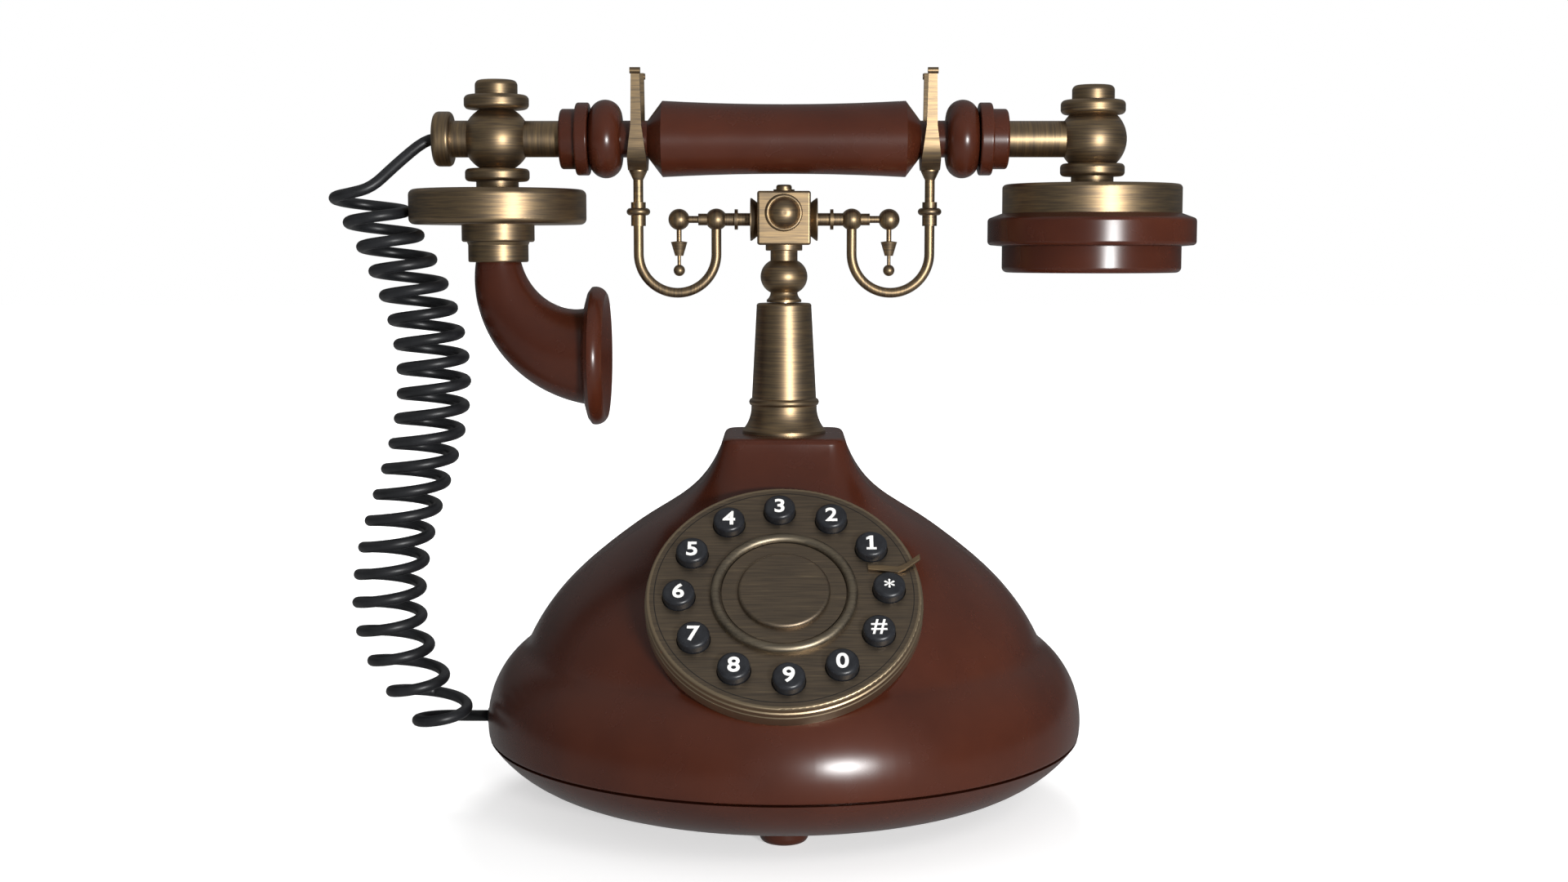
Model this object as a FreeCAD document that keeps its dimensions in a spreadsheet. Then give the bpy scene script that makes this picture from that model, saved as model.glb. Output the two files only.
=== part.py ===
import FreeCAD, Part
import math
import os
import Sketcher

# Table telephone of antique form with push buttons. Millimetres, +Z up.
# The origin is on the table under the column's axis, and the dial faces -Y.

SIZES = {
    # feet and dish
    "foot_height": 6.0,
    "foot_radius": 7.8,
    "foot_edge": 2.2,
    "foot_circle": 59.5,
    "dish_height": 16.6,
    "dish_radius": 101.0,
    "dish_flat_radius": 72.0,
    "dish_swell": 3.6,
    "dish_wall": 3.0,
    "spigot_rise": 5.4,
    "spigot_wall": 2.5,
    "lap_clearance": 0.8,
    "base_screw_x": 60.0,
    "base_screw_y": 20.0,
    "screw_radius": 1.6,
    "screw_head_radius": 3.2,
    "screw_head_height": 1.8,
    "screw_room": 0.2,
    "screw_bite": 10.0,
    "post_radius": 4.5,
    # shell
    "seam_gap": 0.6,
    "shell_wall": 3.2,
    "bulge_radius": 101.6,
    "bulge_rise": 4.8,
    "bulge_curve": 31.0,
    "shell_height": 101.8,
    "plateau_depth_extra": 3.0,
    "plateau_edge": 2.4,
    "waist_rounding": 8.0,
    # dial, tilted back
    "dial_elevation": 47.0,
    "dial_front": 69.0,
    "dial_rise": 58.0,
    "dial_radius": 43.4,
    "dial_depth": 7.6,
    "dial_face": 2.0,
    "dial_rim_wall": 2.9,
    "dial_clearance": 0.3,
    "seat_ring_wall": 5.5,
    "seat_ring_depth": 10.0,
    "centre_ring_radius": 23.0,
    "centre_ring_width": 3.4,
    "centre_ring_height": 2.4,
    "centre_disc_radius": 14.4,
    "centre_disc_height": 2.6,
    "centre_plate_height": 0.9,
    "key_circle": 32.6,
    "key_turn": 2.5,
    "key_radius": 5.0,
    "key_height": 3.5,
    "key_edge": 1.3,
    "key_clearance": 0.25,
    "key_flange": 1.2,
    "key_flange_height": 1.0,
    "key_play": 0.15,
    "key_travel": 1.5,
    "key_spare": 0.2,
    "mat_height": 1.0,
    "board_height": 1.6,
    "stop_width": 2.2,
    "stop_thick": 0.9,
    # column
    "column_height": 44.3,
    "column_foot": 14.2,
    "column_waist": 11.2,
    "column_flare": 9.3,
    "column_bead": 11.95,
    "column_bead_height": 2.5,
    "column_top": 9.3,
    "column_spigot_wall": 3.0,
    "column_spigot_length": 13.0,
    "nut_radius": 13.0,
    "nut_height": 4.0,
    "bush_length": 10.0,
    "rod_radius": 3.0,
    "rod_running": 0.06,
    "rod_collar_height": 1.5,
    "rod_below": 18.0,
    "hook_travel": 4.0,
    "hook_gap": 0.3,
    "spring_wire": 0.4,
    "spring_clearance": 0.25,
    "bush_wall": 1.5,
    "ledge_height": 3.0,
    # cradle
    "baluster_height": 19.35,
    "baluster_foot": 5.9,
    "baluster_neck": 4.6,
    "bulb_radius": 7.97,
    "bulb_rise": 8.67,
    "bulb_half": 5.4,
    "collar_radius": 6.24,
    "collar_height": 1.95,
    "socket_depth": 8.0,
    "block_size": 18.0,
    "block_edge": 0.8,
    "rosette_radius": 6.28,
    "rosette_dome": 5.1,
    "rosette_rise": 10.7,
    "finial_radius": 2.65,
    "finial_foot": 3.6,
    "finial_height": 2.3,
    "arm_rise": 8.6,
    "arm_radius": 2.16,
    "escutcheon_radius": 7.2,
    "escutcheon_depth": 2.4,
    "arm_collar": 3.46,
    "arm_collar_at": 7.2,
    "inner_ball_reach": 22.95,
    "inner_ball": 3.7,
    "thin_arm_radius": 1.2,
    "sleeve_radius": 2.0,
    "end_ball_reach": 35.6,
    "end_ball": 3.6,
    "drop_rod": 0.85,
    "drop_length": 17.2,
    "drop_cone": 2.8,
    "drop_ball": 1.95,
    "tube_radius": 1.68,
    "tube_bend": 13.2,
    "tube_drop": 11.6,
    "stem_drop": 2.2,
    "stem_sleeve": 2.5,
    "stem_bulge": 4.0,
    "stem_cup": 3.05,
    "stem_height": 18.7,
    "fork_bottom": 4.0,
    "fork_height": 33.4,
    "fork_foot_half": 3.2,
    "fork_tip_half": 1.4,
    "fork_side": 2.7,
    "fork_tip_reach": 11.0,
    "fork_tip_thick": 1.8,
    "fork_bead": 1.05,
    "seat_gap": 0.3,
    # handset
    "neck_radius": 6.18,
    "grip_half": 41.0,
    "grip_end": 12.77,
    "grip_waist": 11.64,
    "cone_end": 46.0,
    "neck_end": 54.7,
    "bead_radius": 13.16,
    "bead_foot": 7.6,
    "bead_length": 11.0,
    "grip_bore": 4.0,
    "ring_wide": 12.2,
    "ring_wide_length": 4.4,
    "ring_small": 10.1,
    "ring_small_length": 5.3,
    "arm_tube_radius": 6.1,
    "arm_tube_bore": 2.0,
    "arm_tube_spigot": 22.0,
    "left_reach": 97.0,
    "right_reach": 104.3,
    "ball_radius": 11.4,
    "left_flat": 9.9,
    "right_flat": 8.2,
    "cap_radius": 10.9,
    "cap_height": 4.8,
    "knob_radius": 7.15,
    "knob_height": 5.0,
    "collar_plate": 10.85,
    "collar_plate_height": 4.3,
    "collar_neck": 7.14,
    "collar_neck_height": 2.7,
    "disc_radius": 29.9,
    "disc_height": 11.8,
    "disc_edge": 2.0,
    "mouth_collar": 12.28,
    "mouth_collar_height": 5.9,
    "mouth_step": 10.15,
    "mouth_step_height": 6.8,
    "mouth_bore": 5.0,
    "microphone_radius": 10.5,
    "microphone_height": 6.0,
    "horn_start": 7.66,
    "horn_end": 16.9,
    "horn_wall": 2.4,
    "horn_bend": 31.8,
    "horn_rim": 23.4,
    "horn_rim_width": 7.4,
    "receiver_radius": 30.2,
    "receiver_height": 9.75,
    "receiver_wall": 3.0,
    "ear_ring_radius": 35.1,
    "ear_ring_height": 10.7,
    "ear_cap_radius": 30.15,
    "ear_cap_height": 9.25,
    "ear_dish": 2.5,
    "speaker_radius": 24.0,
    "speaker_height": 9.0,
    "flange_radius": 9.21,
    "flange_width": 6.2,
    "flange_reach": 118.1,
    # inside the base
    "ballast_length": 80.0,
    "ballast_width": 44.0,
    "ballast_height": 6.0,
    "ballast_back": 12.0,
    "pcb_length": 70.0,
    "pcb_width": 40.0,
    "pcb_front": 25.0,
    "pcb_rise": 13.0,
    "pcb_post": 3.0,
    "ringer_radius": 15.0,
    "ringer_height": 10.0,
    "switch_length": 20.0,
    "switch_width": 6.4,
    "switch_height": 10.0,
    "bracket_thick": 1.5,
    "jack_width": 15.0,
    "jack_height": 12.0,
    "jack_depth": 18.0,
    "jack_rise": 35.5,
    "socket_width": 10.0,
    "socket_height": 7.2,
    "socket_reach": 12.0,
    "jack_fit": 0.2,
    # cord
    "cord_radius": 1.9,
    "curl_radius": 10.6,
    "cord_entry_rise": 26.2,
    "grommet_radius": 3.0,
    "grommet_lip": 1.0,
}

doc = FreeCAD.newDocument("Telephone")
sheet = doc.addObject("Spreadsheet::Sheet", "Sizes")
for row, (alias, number) in enumerate(SIZES.items(), start=1):
    sheet.set(f"A{row}", alias)
    sheet.set(f"B{row}", str(number))
    sheet.setAlias(f"B{row}", alias)
doc.recompute()


class Size:
    # a size that carries its value and the sheet formula it comes from

    def __init__(self, value, text):
        self.value = value
        self.text = text

    def __add__(self, other):
        return Size(self.value + number(other), f"({self.text} + {formula(other)})")

    def __radd__(self, other):
        return Size(number(other) + self.value, f"({formula(other)} + {self.text})")

    def __sub__(self, other):
        return Size(self.value - number(other), f"({self.text} - {formula(other)})")

    def __rsub__(self, other):
        return Size(number(other) - self.value, f"({formula(other)} - {self.text})")

    def __mul__(self, other):
        return Size(self.value * number(other), f"({self.text} * {formula(other)})")

    __rmul__ = __mul__

    def __truediv__(self, other):
        return Size(self.value / number(other), f"({self.text} / {formula(other)})")

    def __neg__(self):
        return Size(-self.value, f"(0 - {self.text})")


def number(item):
    return item.value if isinstance(item, Size) else float(item)


def formula(item):
    return item.text if isinstance(item, Size) else repr(float(item))


def leg(long_side, short_side):
    # the other leg of a right triangle
    value = math.sqrt(number(long_side) ** 2 - number(short_side) ** 2)
    return Size(value, f"sqrt({formula(long_side)}^2 - {formula(short_side)}^2)")


def sine(angle):
    return Size(math.sin(math.radians(number(angle))), f"sin({formula(angle)})")


def cosine(angle):
    return Size(math.cos(math.radians(number(angle))), f"cos({formula(angle)})")


class Sheet:
    # each alias of the sheet as a Size

    def __getattr__(self, alias):
        return Size(float(sheet.get(alias)), f"Sizes.{alias}")


s = Sheet()
pieces = {}
AXIS_X = FreeCAD.Vector(1, 0, 0)
AXIS_Y = FreeCAD.Vector(0, 1, 0)
AXIS_Z = FreeCAD.Vector(0, 0, 1)


def bind(thing, path, size):
    if isinstance(size, Size):
        thing.setExpression(path, size.text)
    else:
        setattr(thing, path, size)


def place(thing, at=(0, 0, 0), turn=None, slot="Placement"):
    axis, angle = turn if turn else (AXIS_Z, 0)
    base = FreeCAD.Vector(*[number(item) for item in at])
    setattr(thing, slot, FreeCAD.Placement(base, FreeCAD.Rotation(axis, number(angle))))
    for letter, item in zip("xyz", at):
        if isinstance(item, Size):
            thing.setExpression(f"{slot}.Base.{letter}", item.text)
    if isinstance(angle, Size):
        thing.setExpression(f"{slot}.Rotation.Angle", angle.text)


def keep(label, thing):
    thing.Label = label
    pieces[label] = thing
    return thing


def new_body(name):
    return doc.addObject("PartDesign::Body", name)


def sketch_on(body, plane, at=(0, 0, 0), turn=None):
    sketch = body.newObject("Sketcher::SketchObject", body.Name + "_sketch")
    support = [item for item in body.Origin.OriginFeatures if item.Role == plane][0]
    sketch.AttachmentSupport = [(support, "")]
    sketch.MapMode = "FlatFace"
    place(sketch, at, turn, "AttachmentOffset")
    return sketch


def corner(across, along, rounding=None):
    return ("corner", across, along, rounding)


def through(across, along):
    return ("through", across, along, None)


def fix(sketch, geo, pos, across, along):
    # ties a sketch point to its two sizes
    for kind, axis, item in (("DistanceX", -2, across), ("DistanceY", -1, along)):
        if number(item) == 0 and not isinstance(item, Size):
            sketch.addConstraint(Sketcher.Constraint("PointOnObject", geo, pos, axis))
            continue
        index = sketch.addConstraint(Sketcher.Constraint(kind, -1, 1, geo, pos, number(item)))
        if isinstance(item, Size):
            sketch.setExpression(f"Constraints[{index}]", item.text)


def point_of(item, swap):
    across, along = number(item[1]), number(item[2])
    return FreeCAD.Vector(along, across, 0) if swap else FreeCAD.Vector(across, along, 0)


def ends_of(sketch, geo, start):
    # which end of a sketch edge is its start in the outline's order
    if (sketch.getPoint(geo, 1) - start).Length < (sketch.getPoint(geo, 2) - start).Length:
        return 1, 2
    return 2, 1


def draw(sketch, items, closed=True, swap=False):
    # an outline of straight edges and arcs; a rounded corner gets a tangent arc
    corners = [item for item in items if item[0] == "corner"]
    vias = {}
    for index, item in enumerate(items):
        if item[0] == "through":
            before = items[index - 1]
            vias[corners.index(before)] = item
    count = len(corners)
    spots = [point_of(item, swap) for item in corners]
    leave, arrive = list(spots), list(spots)
    for index, item in enumerate(corners):
        if item[3] is None:
            continue
        back = (spots[index - 1] - spots[index]).normalize()
        ahead = (spots[(index + 1) % count] - spots[index]).normalize()
        reach = number(item[3]) / math.tan(back.getAngle(ahead) / 2)
        arrive[index] = spots[index] + back * reach
        leave[index] = spots[index] + ahead * reach
    edges = []
    for index in range(count if closed else count - 1):
        start, end = leave[index], arrive[(index + 1) % count]
        via = vias.get(index)
        if via is None:
            geo = sketch.addGeometry(Part.LineSegment(start, end), False)
        else:
            middle = point_of(via, swap)
            geo = sketch.addGeometry(Part.Arc(start, middle, end), False)
            dot = sketch.addGeometry(Part.Point(middle), True)
            fix(sketch, dot, 1, *((via[2], via[1]) if swap else (via[1], via[2])))
            sketch.addConstraint(Sketcher.Constraint("PointOnObject", dot, 1, geo))
        edges.append((geo,) + ends_of(sketch, geo, start))
    for index, item in enumerate(corners):
        wanted = (item[2], item[1]) if swap else (item[1], item[2])
        if not closed and index == count - 1:
            fix(sketch, edges[-1][0], edges[-1][2], *wanted)
            continue
        geo, first, last = edges[index]
        if not closed and index == 0:
            fix(sketch, geo, first, *wanted)
            continue
        past_geo, past_first, past_last = edges[index - 1]
        if item[3] is None:
            sketch.addConstraint(Sketcher.Constraint("Coincident", past_geo, past_last, geo, first))
            fix(sketch, geo, first, *wanted)
            continue
        inward = ((arrive[index] + leave[index]) / 2 - spots[index]).normalize()
        gap = (arrive[index] - spots[index]).Length
        radius = number(item[3])
        middle = spots[index] + inward * (math.hypot(gap, radius) - radius)
        arc = sketch.addGeometry(Part.Arc(arrive[index], middle, leave[index]), False)
        one, two = ends_of(sketch, arc, arrive[index])
        sketch.addConstraint(Sketcher.Constraint("Tangent", past_geo, past_last, arc, one))
        sketch.addConstraint(Sketcher.Constraint("Tangent", arc, two, geo, first))
        size = sketch.addConstraint(Sketcher.Constraint("Radius", arc, radius))
        if isinstance(item[3], Size):
            sketch.setExpression(f"Constraints[{size}]", item[3].text)
        dot = sketch.addGeometry(Part.Point(spots[index]), True)
        fix(sketch, dot, 1, *wanted)
        sketch.addConstraint(Sketcher.Constraint("PointOnObject", dot, 1, past_geo))
        sketch.addConstraint(Sketcher.Constraint("PointOnObject", dot, 1, geo))


def turned(name, outline, at=(0, 0, 0), turn=None, along_x=False):
    # a piece turned about its own axis, from (radius, length) points
    body = new_body(name)
    sketch = sketch_on(body, "XZ_Plane")
    draw(sketch, outline, swap=along_x)
    turning = body.newObject("PartDesign::Revolution", name + "_turning")
    turning.Profile = sketch
    turning.ReferenceAxis = (sketch, ["H_Axis" if along_x else "V_Axis"])
    turning.Angle = 360
    body.Tip = turning
    place(body, at, turn)
    return body


def rod(name, radius, length, at=(0, 0, 0), turn=None):
    cylinder = doc.addObject("Part::Cylinder", name)
    bind(cylinder, "Radius", radius)
    bind(cylinder, "Height", length)
    place(cylinder, at, turn)
    return cylinder


def box(name, length, width, height, at=(0, 0, 0)):
    # a box by its low corner
    block = doc.addObject("Part::Box", name)
    bind(block, "Length", length)
    bind(block, "Width", width)
    bind(block, "Height", height)
    place(block, at)
    return block


def group(name, *things):
    bundle = doc.addObject("Part::Compound", name)
    bundle.Links = list(things)
    return bundle


def fuse(name, *things):
    union = doc.addObject("Part::MultiFuse", name)
    union.Shapes = list(things)
    return union


def common(name, one, two):
    shared = doc.addObject("Part::MultiCommon", name)
    shared.Shapes = [one, two]
    return shared


def cut(name, base, *tools):
    difference = doc.addObject("Part::Cut", name)
    difference.Base = base
    difference.Tool = tools[0] if len(tools) == 1 else fuse(name + "_tools", *tools)
    return difference


def padded(name, plane, outline, depth, at=(0, 0, 0), turn=None, both_ways=False, sketch_turn=None):
    body = new_body(name)
    sketch = sketch_on(body, plane, (0, 0, 0), sketch_turn)
    draw(sketch, outline)
    pad = body.newObject("PartDesign::Pad", name + "_pad")
    pad.Profile = sketch
    bind(pad, "Length", depth)
    pad.Midplane = both_ways
    body.Tip = pad
    place(body, at, turn)
    return body


def rectangle(half_x, half_y, rounding=None):
    return [
        corner(half_x, half_y, rounding),
        corner(-half_x, half_y, rounding),
        corner(-half_x, -half_y, rounding),
        corner(half_x, -half_y, rounding),
    ]


# heights up the middle of the telephone
dish_floor = s.foot_height + s.dish_wall
seam = s.foot_height + s.dish_height
shell_bottom = seam + s.seam_gap
plateau = shell_bottom + s.shell_height
column_top = plateau + s.column_height
cradle_bottom = column_top + s.hook_gap
block_bottom = cradle_bottom + s.baluster_height
arm_height = block_bottom + s.arm_rise
stem_bottom = arm_height - s.stem_drop
fork_bottom = stem_bottom + s.stem_height
handset_height = fork_bottom + s.fork_bottom + s.seat_gap + s.neck_radius

# round the plunger rod: spring, collar, bore, bush and the column's spigot
spring_middle = s.rod_radius + s.spring_clearance + s.spring_wire
rod_collar = spring_middle + s.spring_wire + 0.15
column_bore = rod_collar + s.hook_gap
bush_radius = column_bore + s.bush_wall
column_spigot = column_bore + s.column_spigot_wall

# the dial's own frame: its face centre, with local z out of the face
dial_at = (0, -s.dial_front, shell_bottom + s.dial_rise)
dial_lean = (AXIS_X, 90 - s.dial_elevation)
dial_sine = sine(s.dial_elevation)
dial_cosine = cosine(s.dial_elevation)


def on_dial(x, up, out):
    # a point given in the dial's frame
    return (
        x,
        dial_at[1] + up * dial_sine - out * dial_cosine,
        dial_at[2] + up * dial_cosine + out * dial_sine,
    )


def make_feet():
    outline = [
        corner(0, 0),
        corner(s.foot_radius, 0, s.foot_edge),
        corner(s.foot_radius, s.foot_height),
        corner(0, s.foot_height),
    ]
    feet = []
    for index, (x, y) in enumerate(((1, 0), (0, 1), (-1, 0), (0, -1))):
        at = (s.foot_circle * x if x else 0, s.foot_circle * y if y else 0, 0)
        feet.append(turned(f"foot_{index}", outline, at))
    keep("feet", group("feet_group", *feet))


def screw_places():
    return [(s.base_screw_x * x, s.base_screw_y * y) for x in (-1, 1) for y in (-1, 1)]


def make_dish():
    # swept-up bottom cover with a lap that the shell's rim goes round
    lap = s.bulge_radius - s.shell_wall - s.lap_clearance
    inner_lap = lap - s.spigot_wall
    across = s.dish_radius - s.dish_flat_radius
    middle = s.dish_radius - across / 2
    rise = s.dish_height / 2
    bottom = s.foot_height
    outline = [
        corner(0, bottom),
        corner(s.dish_flat_radius, bottom),
        through(middle + s.dish_swell * 0.5, bottom + rise - s.dish_swell * 0.87),
        corner(s.dish_radius, seam),
        corner(lap, seam),
        corner(lap, seam + s.spigot_rise),
        corner(inner_lap, seam + s.spigot_rise),
        corner(inner_lap, seam - s.dish_wall / 2),
        through(middle - s.dish_wall / 2, bottom + rise - s.dish_swell * 0.87 + s.dish_wall),
        corner(s.dish_flat_radius - s.dish_wall / 2, dish_floor),
        corner(0, dish_floor),
    ]
    dish = turned("dish_turned", outline)
    posts = []
    for x in (-1, 1):
        for y in (0, 1):
            at = (
                (s.pcb_length / 2 - s.pcb_post) * x,
                s.pcb_front + s.pcb_post + (s.pcb_width - s.pcb_post * 2) * y,
                dish_floor,
            )
            posts.append(rod("pcb_post", s.pcb_post, s.pcb_rise, at))
    holes = []
    for x, y in screw_places():
        shank_at = (x, y, s.foot_height - s.dish_wall)
        holes.append(rod("screw_hole", s.screw_radius + s.screw_room, s.dish_wall * 3, shank_at))
        head = (x, y, s.foot_height - s.screw_head_height)
        holes.append(rod("screw_recess", s.screw_head_radius + s.screw_room, s.screw_head_height * 2, head))
    keep("base_dish", cut("dish_cut", fuse("dish_posts", dish, *posts), *holes))


def make_base_screws():
    screws = []
    for x, y in screw_places():
        outline = [
            corner(0, 0),
            corner(s.screw_head_radius, 0),
            corner(s.screw_head_radius, s.screw_head_height),
            corner(s.screw_radius, s.screw_head_height),
            corner(s.screw_radius, s.dish_wall + s.screw_bite),
            corner(0, s.dish_wall + s.screw_bite),
        ]
        screws.append(turned("base_screw", outline, (x, y, s.foot_height)))
    keep("base_screws", group("screw_group", *screws))


# the shell's upper body: shares of its height, of the bulge's radius, and of the width that stays straight
SHELL_SECTIONS = (
    (0.214, 0.896, 0.02),
    (0.342, 0.844, 0.02),
    (0.460, 0.765, 0.05),
    (0.558, 0.667, 0.10),
    (0.656, 0.540, 0.20),
    (0.730, 0.426, 0.30),
    (0.804, 0.316, 0.42),
    (0.872, 0.255, 0.54),
    (1.000, 0.206, 0.70),
)


def shell_loft(name, inset, drop):
    # rounded-square sections, round at the bulge and square at the plateau
    body = new_body(name)
    last = len(SHELL_SECTIONS) - 1
    sketches = []
    for index, (rise, half, flat) in enumerate(SHELL_SECTIONS):
        share = index / last
        height = shell_bottom + s.shell_height * rise - (drop if index == last else 0)
        half = s.bulge_radius * half
        half_y = half + s.plateau_depth_extra * (share ** 2) - inset
        sketch = sketch_on(body, "XY_Plane", (0, 0, height))
        draw(sketch, rectangle(half - inset, half_y, half * (1 - flat) - inset))
        sketches.append(sketch)
    loft = body.newObject("PartDesign::AdditiveLoft", name + "_loft")
    loft.Profile = sketches[0]
    loft.Sections = sketches[1:]
    loft.Ruled = False
    body.Tip = loft
    return body


def plateau_cap():
    # the flat top with its rounded edge
    half = s.bulge_radius * SHELL_SECTIONS[-1][1]
    flat = SHELL_SECTIONS[-1][2]
    height = s.plateau_edge * 2
    outline = rectangle(half, half + s.plateau_depth_extra, half * (1 - flat))
    cap = padded("plateau_cap", "XY_Plane", outline, height, (0, 0, plateau - height))
    pad = cap.Tip
    doc.recompute()
    lid = max(range(len(pad.Shape.Faces)), key=lambda index: pad.Shape.Faces[index].CenterOfMass.z)
    edge = cap.newObject("PartDesign::Fillet", "plateau_rounding")
    edge.Base = (pad, [f"Face{lid + 1}"])
    bind(edge, "Radius", s.plateau_edge)
    cap.Tip = edge
    return cap


def bulge(name, inset, bottom):
    # the round swelling above the seam, closed over at the top
    centre = s.bulge_radius - s.bulge_curve
    middle = shell_bottom + s.bulge_rise
    curve = s.bulge_curve - inset
    start = leg(curve, middle - bottom)
    top = curve * 0.94
    outline = [
        corner(0, bottom),
        corner(centre + start, bottom),
        through(centre + curve * 0.87, middle + leg(curve, curve * 0.87)),
        corner(centre + leg(curve, top), middle + top),
        corner(0, middle + top),
    ]
    return turned(name, outline)


def soft_waist(outside):
    # rounds the crease where the upper body comes out of the bulge
    doc.recompute()
    low = number(shell_bottom + s.shell_height * SHELL_SECTIONS[0][0])
    high = number(shell_bottom + s.shell_height * SHELL_SECTIONS[2][0])
    crease = []
    for index, edge in enumerate(outside.Shape.Edges, start=1):
        if edge.BoundBox.ZMin > low and edge.BoundBox.ZMax < high and edge.BoundBox.ZLength < 1:
            if edge.Length > number(s.waist_rounding):
                crease.append((index, number(s.waist_rounding), number(s.waist_rounding)))
    rounding = doc.addObject("Part::Fillet", "waist_fillet")
    rounding.Base = outside
    rounding.Edges = crease
    return rounding


def make_shell():
    upper = shell_loft("shell_upper", 0, s.plateau_edge)
    hollow = shell_loft("shell_hollow", s.shell_wall, s.shell_wall)
    outer = soft_waist(fuse("shell_outer", upper, plateau_cap(), bulge("bulge_outer", 0, shell_bottom)))
    inner = fuse("shell_inner", hollow, bulge("bulge_inner", s.shell_wall, shell_bottom - s.seam_gap))
    seat_radius = s.dial_radius - s.dial_clearance * 2
    ring_at = on_dial(0, 0, -s.dial_depth - s.seat_ring_depth)
    ring = rod("seat_ring", s.dial_radius + s.dial_rim_wall, s.seat_ring_depth, ring_at, dial_lean)
    posts = []
    for x, y in screw_places():
        posts.append(rod("shell_post", s.post_radius, s.shell_height, (x, y, dish_floor + s.dish_wall * 0.1)))
    filled = common("shell_filled", fuse("shell_inserts", ring, *posts), outer_copy("shell_limit"))
    seat = rod("dial_seat", seat_radius, s.seat_ring_depth, ring_at, dial_lean)
    walls = cut("shell_walls", outer, inner)
    whole = fuse("shell_whole", walls, filled, seat)
    recess = rod("dial_recess", s.dial_radius + s.dial_clearance, s.dial_depth * 3,
                 on_dial(0, 0, -s.dial_depth), dial_lean)
    opening = rod("dial_opening", s.dial_radius - s.seat_ring_wall, s.seat_ring_depth * 4,
                  on_dial(0, 0, -s.dial_depth - s.seat_ring_depth * 2), dial_lean)
    column_hole = rod("column_hole", column_spigot, s.shell_wall * 4, (0, 0, plateau - s.shell_wall * 2))
    jack_room_x = s.jack_width + s.jack_fit * 2
    jack_room_z = s.jack_height + s.jack_fit * 2
    jack_hole = box("jack_hole", jack_room_x, s.jack_depth * 2, jack_room_z,
                    (-jack_room_x / 2, s.bulge_radius - s.jack_depth, s.jack_rise - jack_room_z / 2))
    grommet_hole = rod("grommet_hole", s.grommet_radius - s.grommet_lip, s.shell_wall * 6,
                       (-s.bulge_radius - s.shell_wall * 2, 0, s.cord_entry_rise), (AXIS_Y, 90))
    screw_holes = []
    for x, y in screw_places():
        bite = s.screw_bite + s.dish_wall * 2
        screw_holes.append(rod("post_hole", s.screw_radius, bite, (x, y, s.foot_height)))
    holes = [recess, opening, column_hole, jack_hole, grommet_hole] + screw_holes
    keep("base_shell", cut("shell_cut", whole, *holes))


def outer_copy(name):
    # the shell's outside again, to keep inserts within it
    upper = shell_loft(name + "_upper", s.shell_wall / 2, s.shell_wall / 2)
    bottom = shell_bottom - s.dish_height + s.dish_wall
    return fuse(name, upper, bulge(name + "_bulge", s.shell_wall / 2, bottom))


def make_insides():
    outline = rectangle(s.ballast_length / 2, s.ballast_width / 2, 4.0)
    ballast_at = (0, -s.ballast_back - s.ballast_width / 2, dish_floor)
    keep("ballast_plate", padded("ballast", "XY_Plane", outline, s.ballast_height, ballast_at))
    board_at = (0, s.pcb_front + s.pcb_width / 2, dish_floor + s.pcb_rise)
    keep("main_board", padded("board", "XY_Plane", rectangle(s.pcb_length / 2, s.pcb_width / 2, 2.0),
                              s.board_height, board_at))
    outline = [
        corner(0, 0),
        corner(s.ringer_radius, 0),
        corner(s.ringer_radius, s.ringer_height, 1.0),
        corner(s.ringer_radius * 0.2, s.ringer_height),
        corner(s.ringer_radius * 0.2, s.ringer_height * 0.6),
        corner(0, s.ringer_height * 0.6),
    ]
    ringer_at = (-s.ringer_radius - 2, board_at[1], board_at[2] + s.board_height)
    keep("ringer", turned("ringer_turned", outline, ringer_at))
    jack_back = s.bulge_radius + s.jack_fit - s.jack_depth
    jack = box("jack_block", s.jack_width, s.jack_depth, s.jack_height,
               (-s.jack_width / 2, jack_back, s.jack_rise - s.jack_height / 2))
    socket_front = jack_back + s.jack_depth - s.socket_reach
    socket = box("jack_socket", s.socket_width, s.socket_reach * 2, s.socket_height,
                 (-s.socket_width / 2, socket_front, s.jack_rise - s.socket_height / 2))
    keep("line_jack", cut("jack_cut", jack, socket))
    outline = [
        corner(0, 0),
        corner(s.grommet_radius, 0),
        corner(s.grommet_radius, s.grommet_lip, s.grommet_lip * 0.5),
        corner(0, s.grommet_lip),
    ]
    lip = turned("grommet_lip", outline, (-s.bulge_radius, 0, s.cord_entry_rise), (AXIS_Y, -90))
    core = rod("grommet_core", s.grommet_radius - s.grommet_lip, s.shell_wall,
               (-s.bulge_radius + s.shell_wall, 0, s.cord_entry_rise), (AXIS_Y, -90))
    keep("cord_grommet", fuse("grommet_whole", lip, core))


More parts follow.
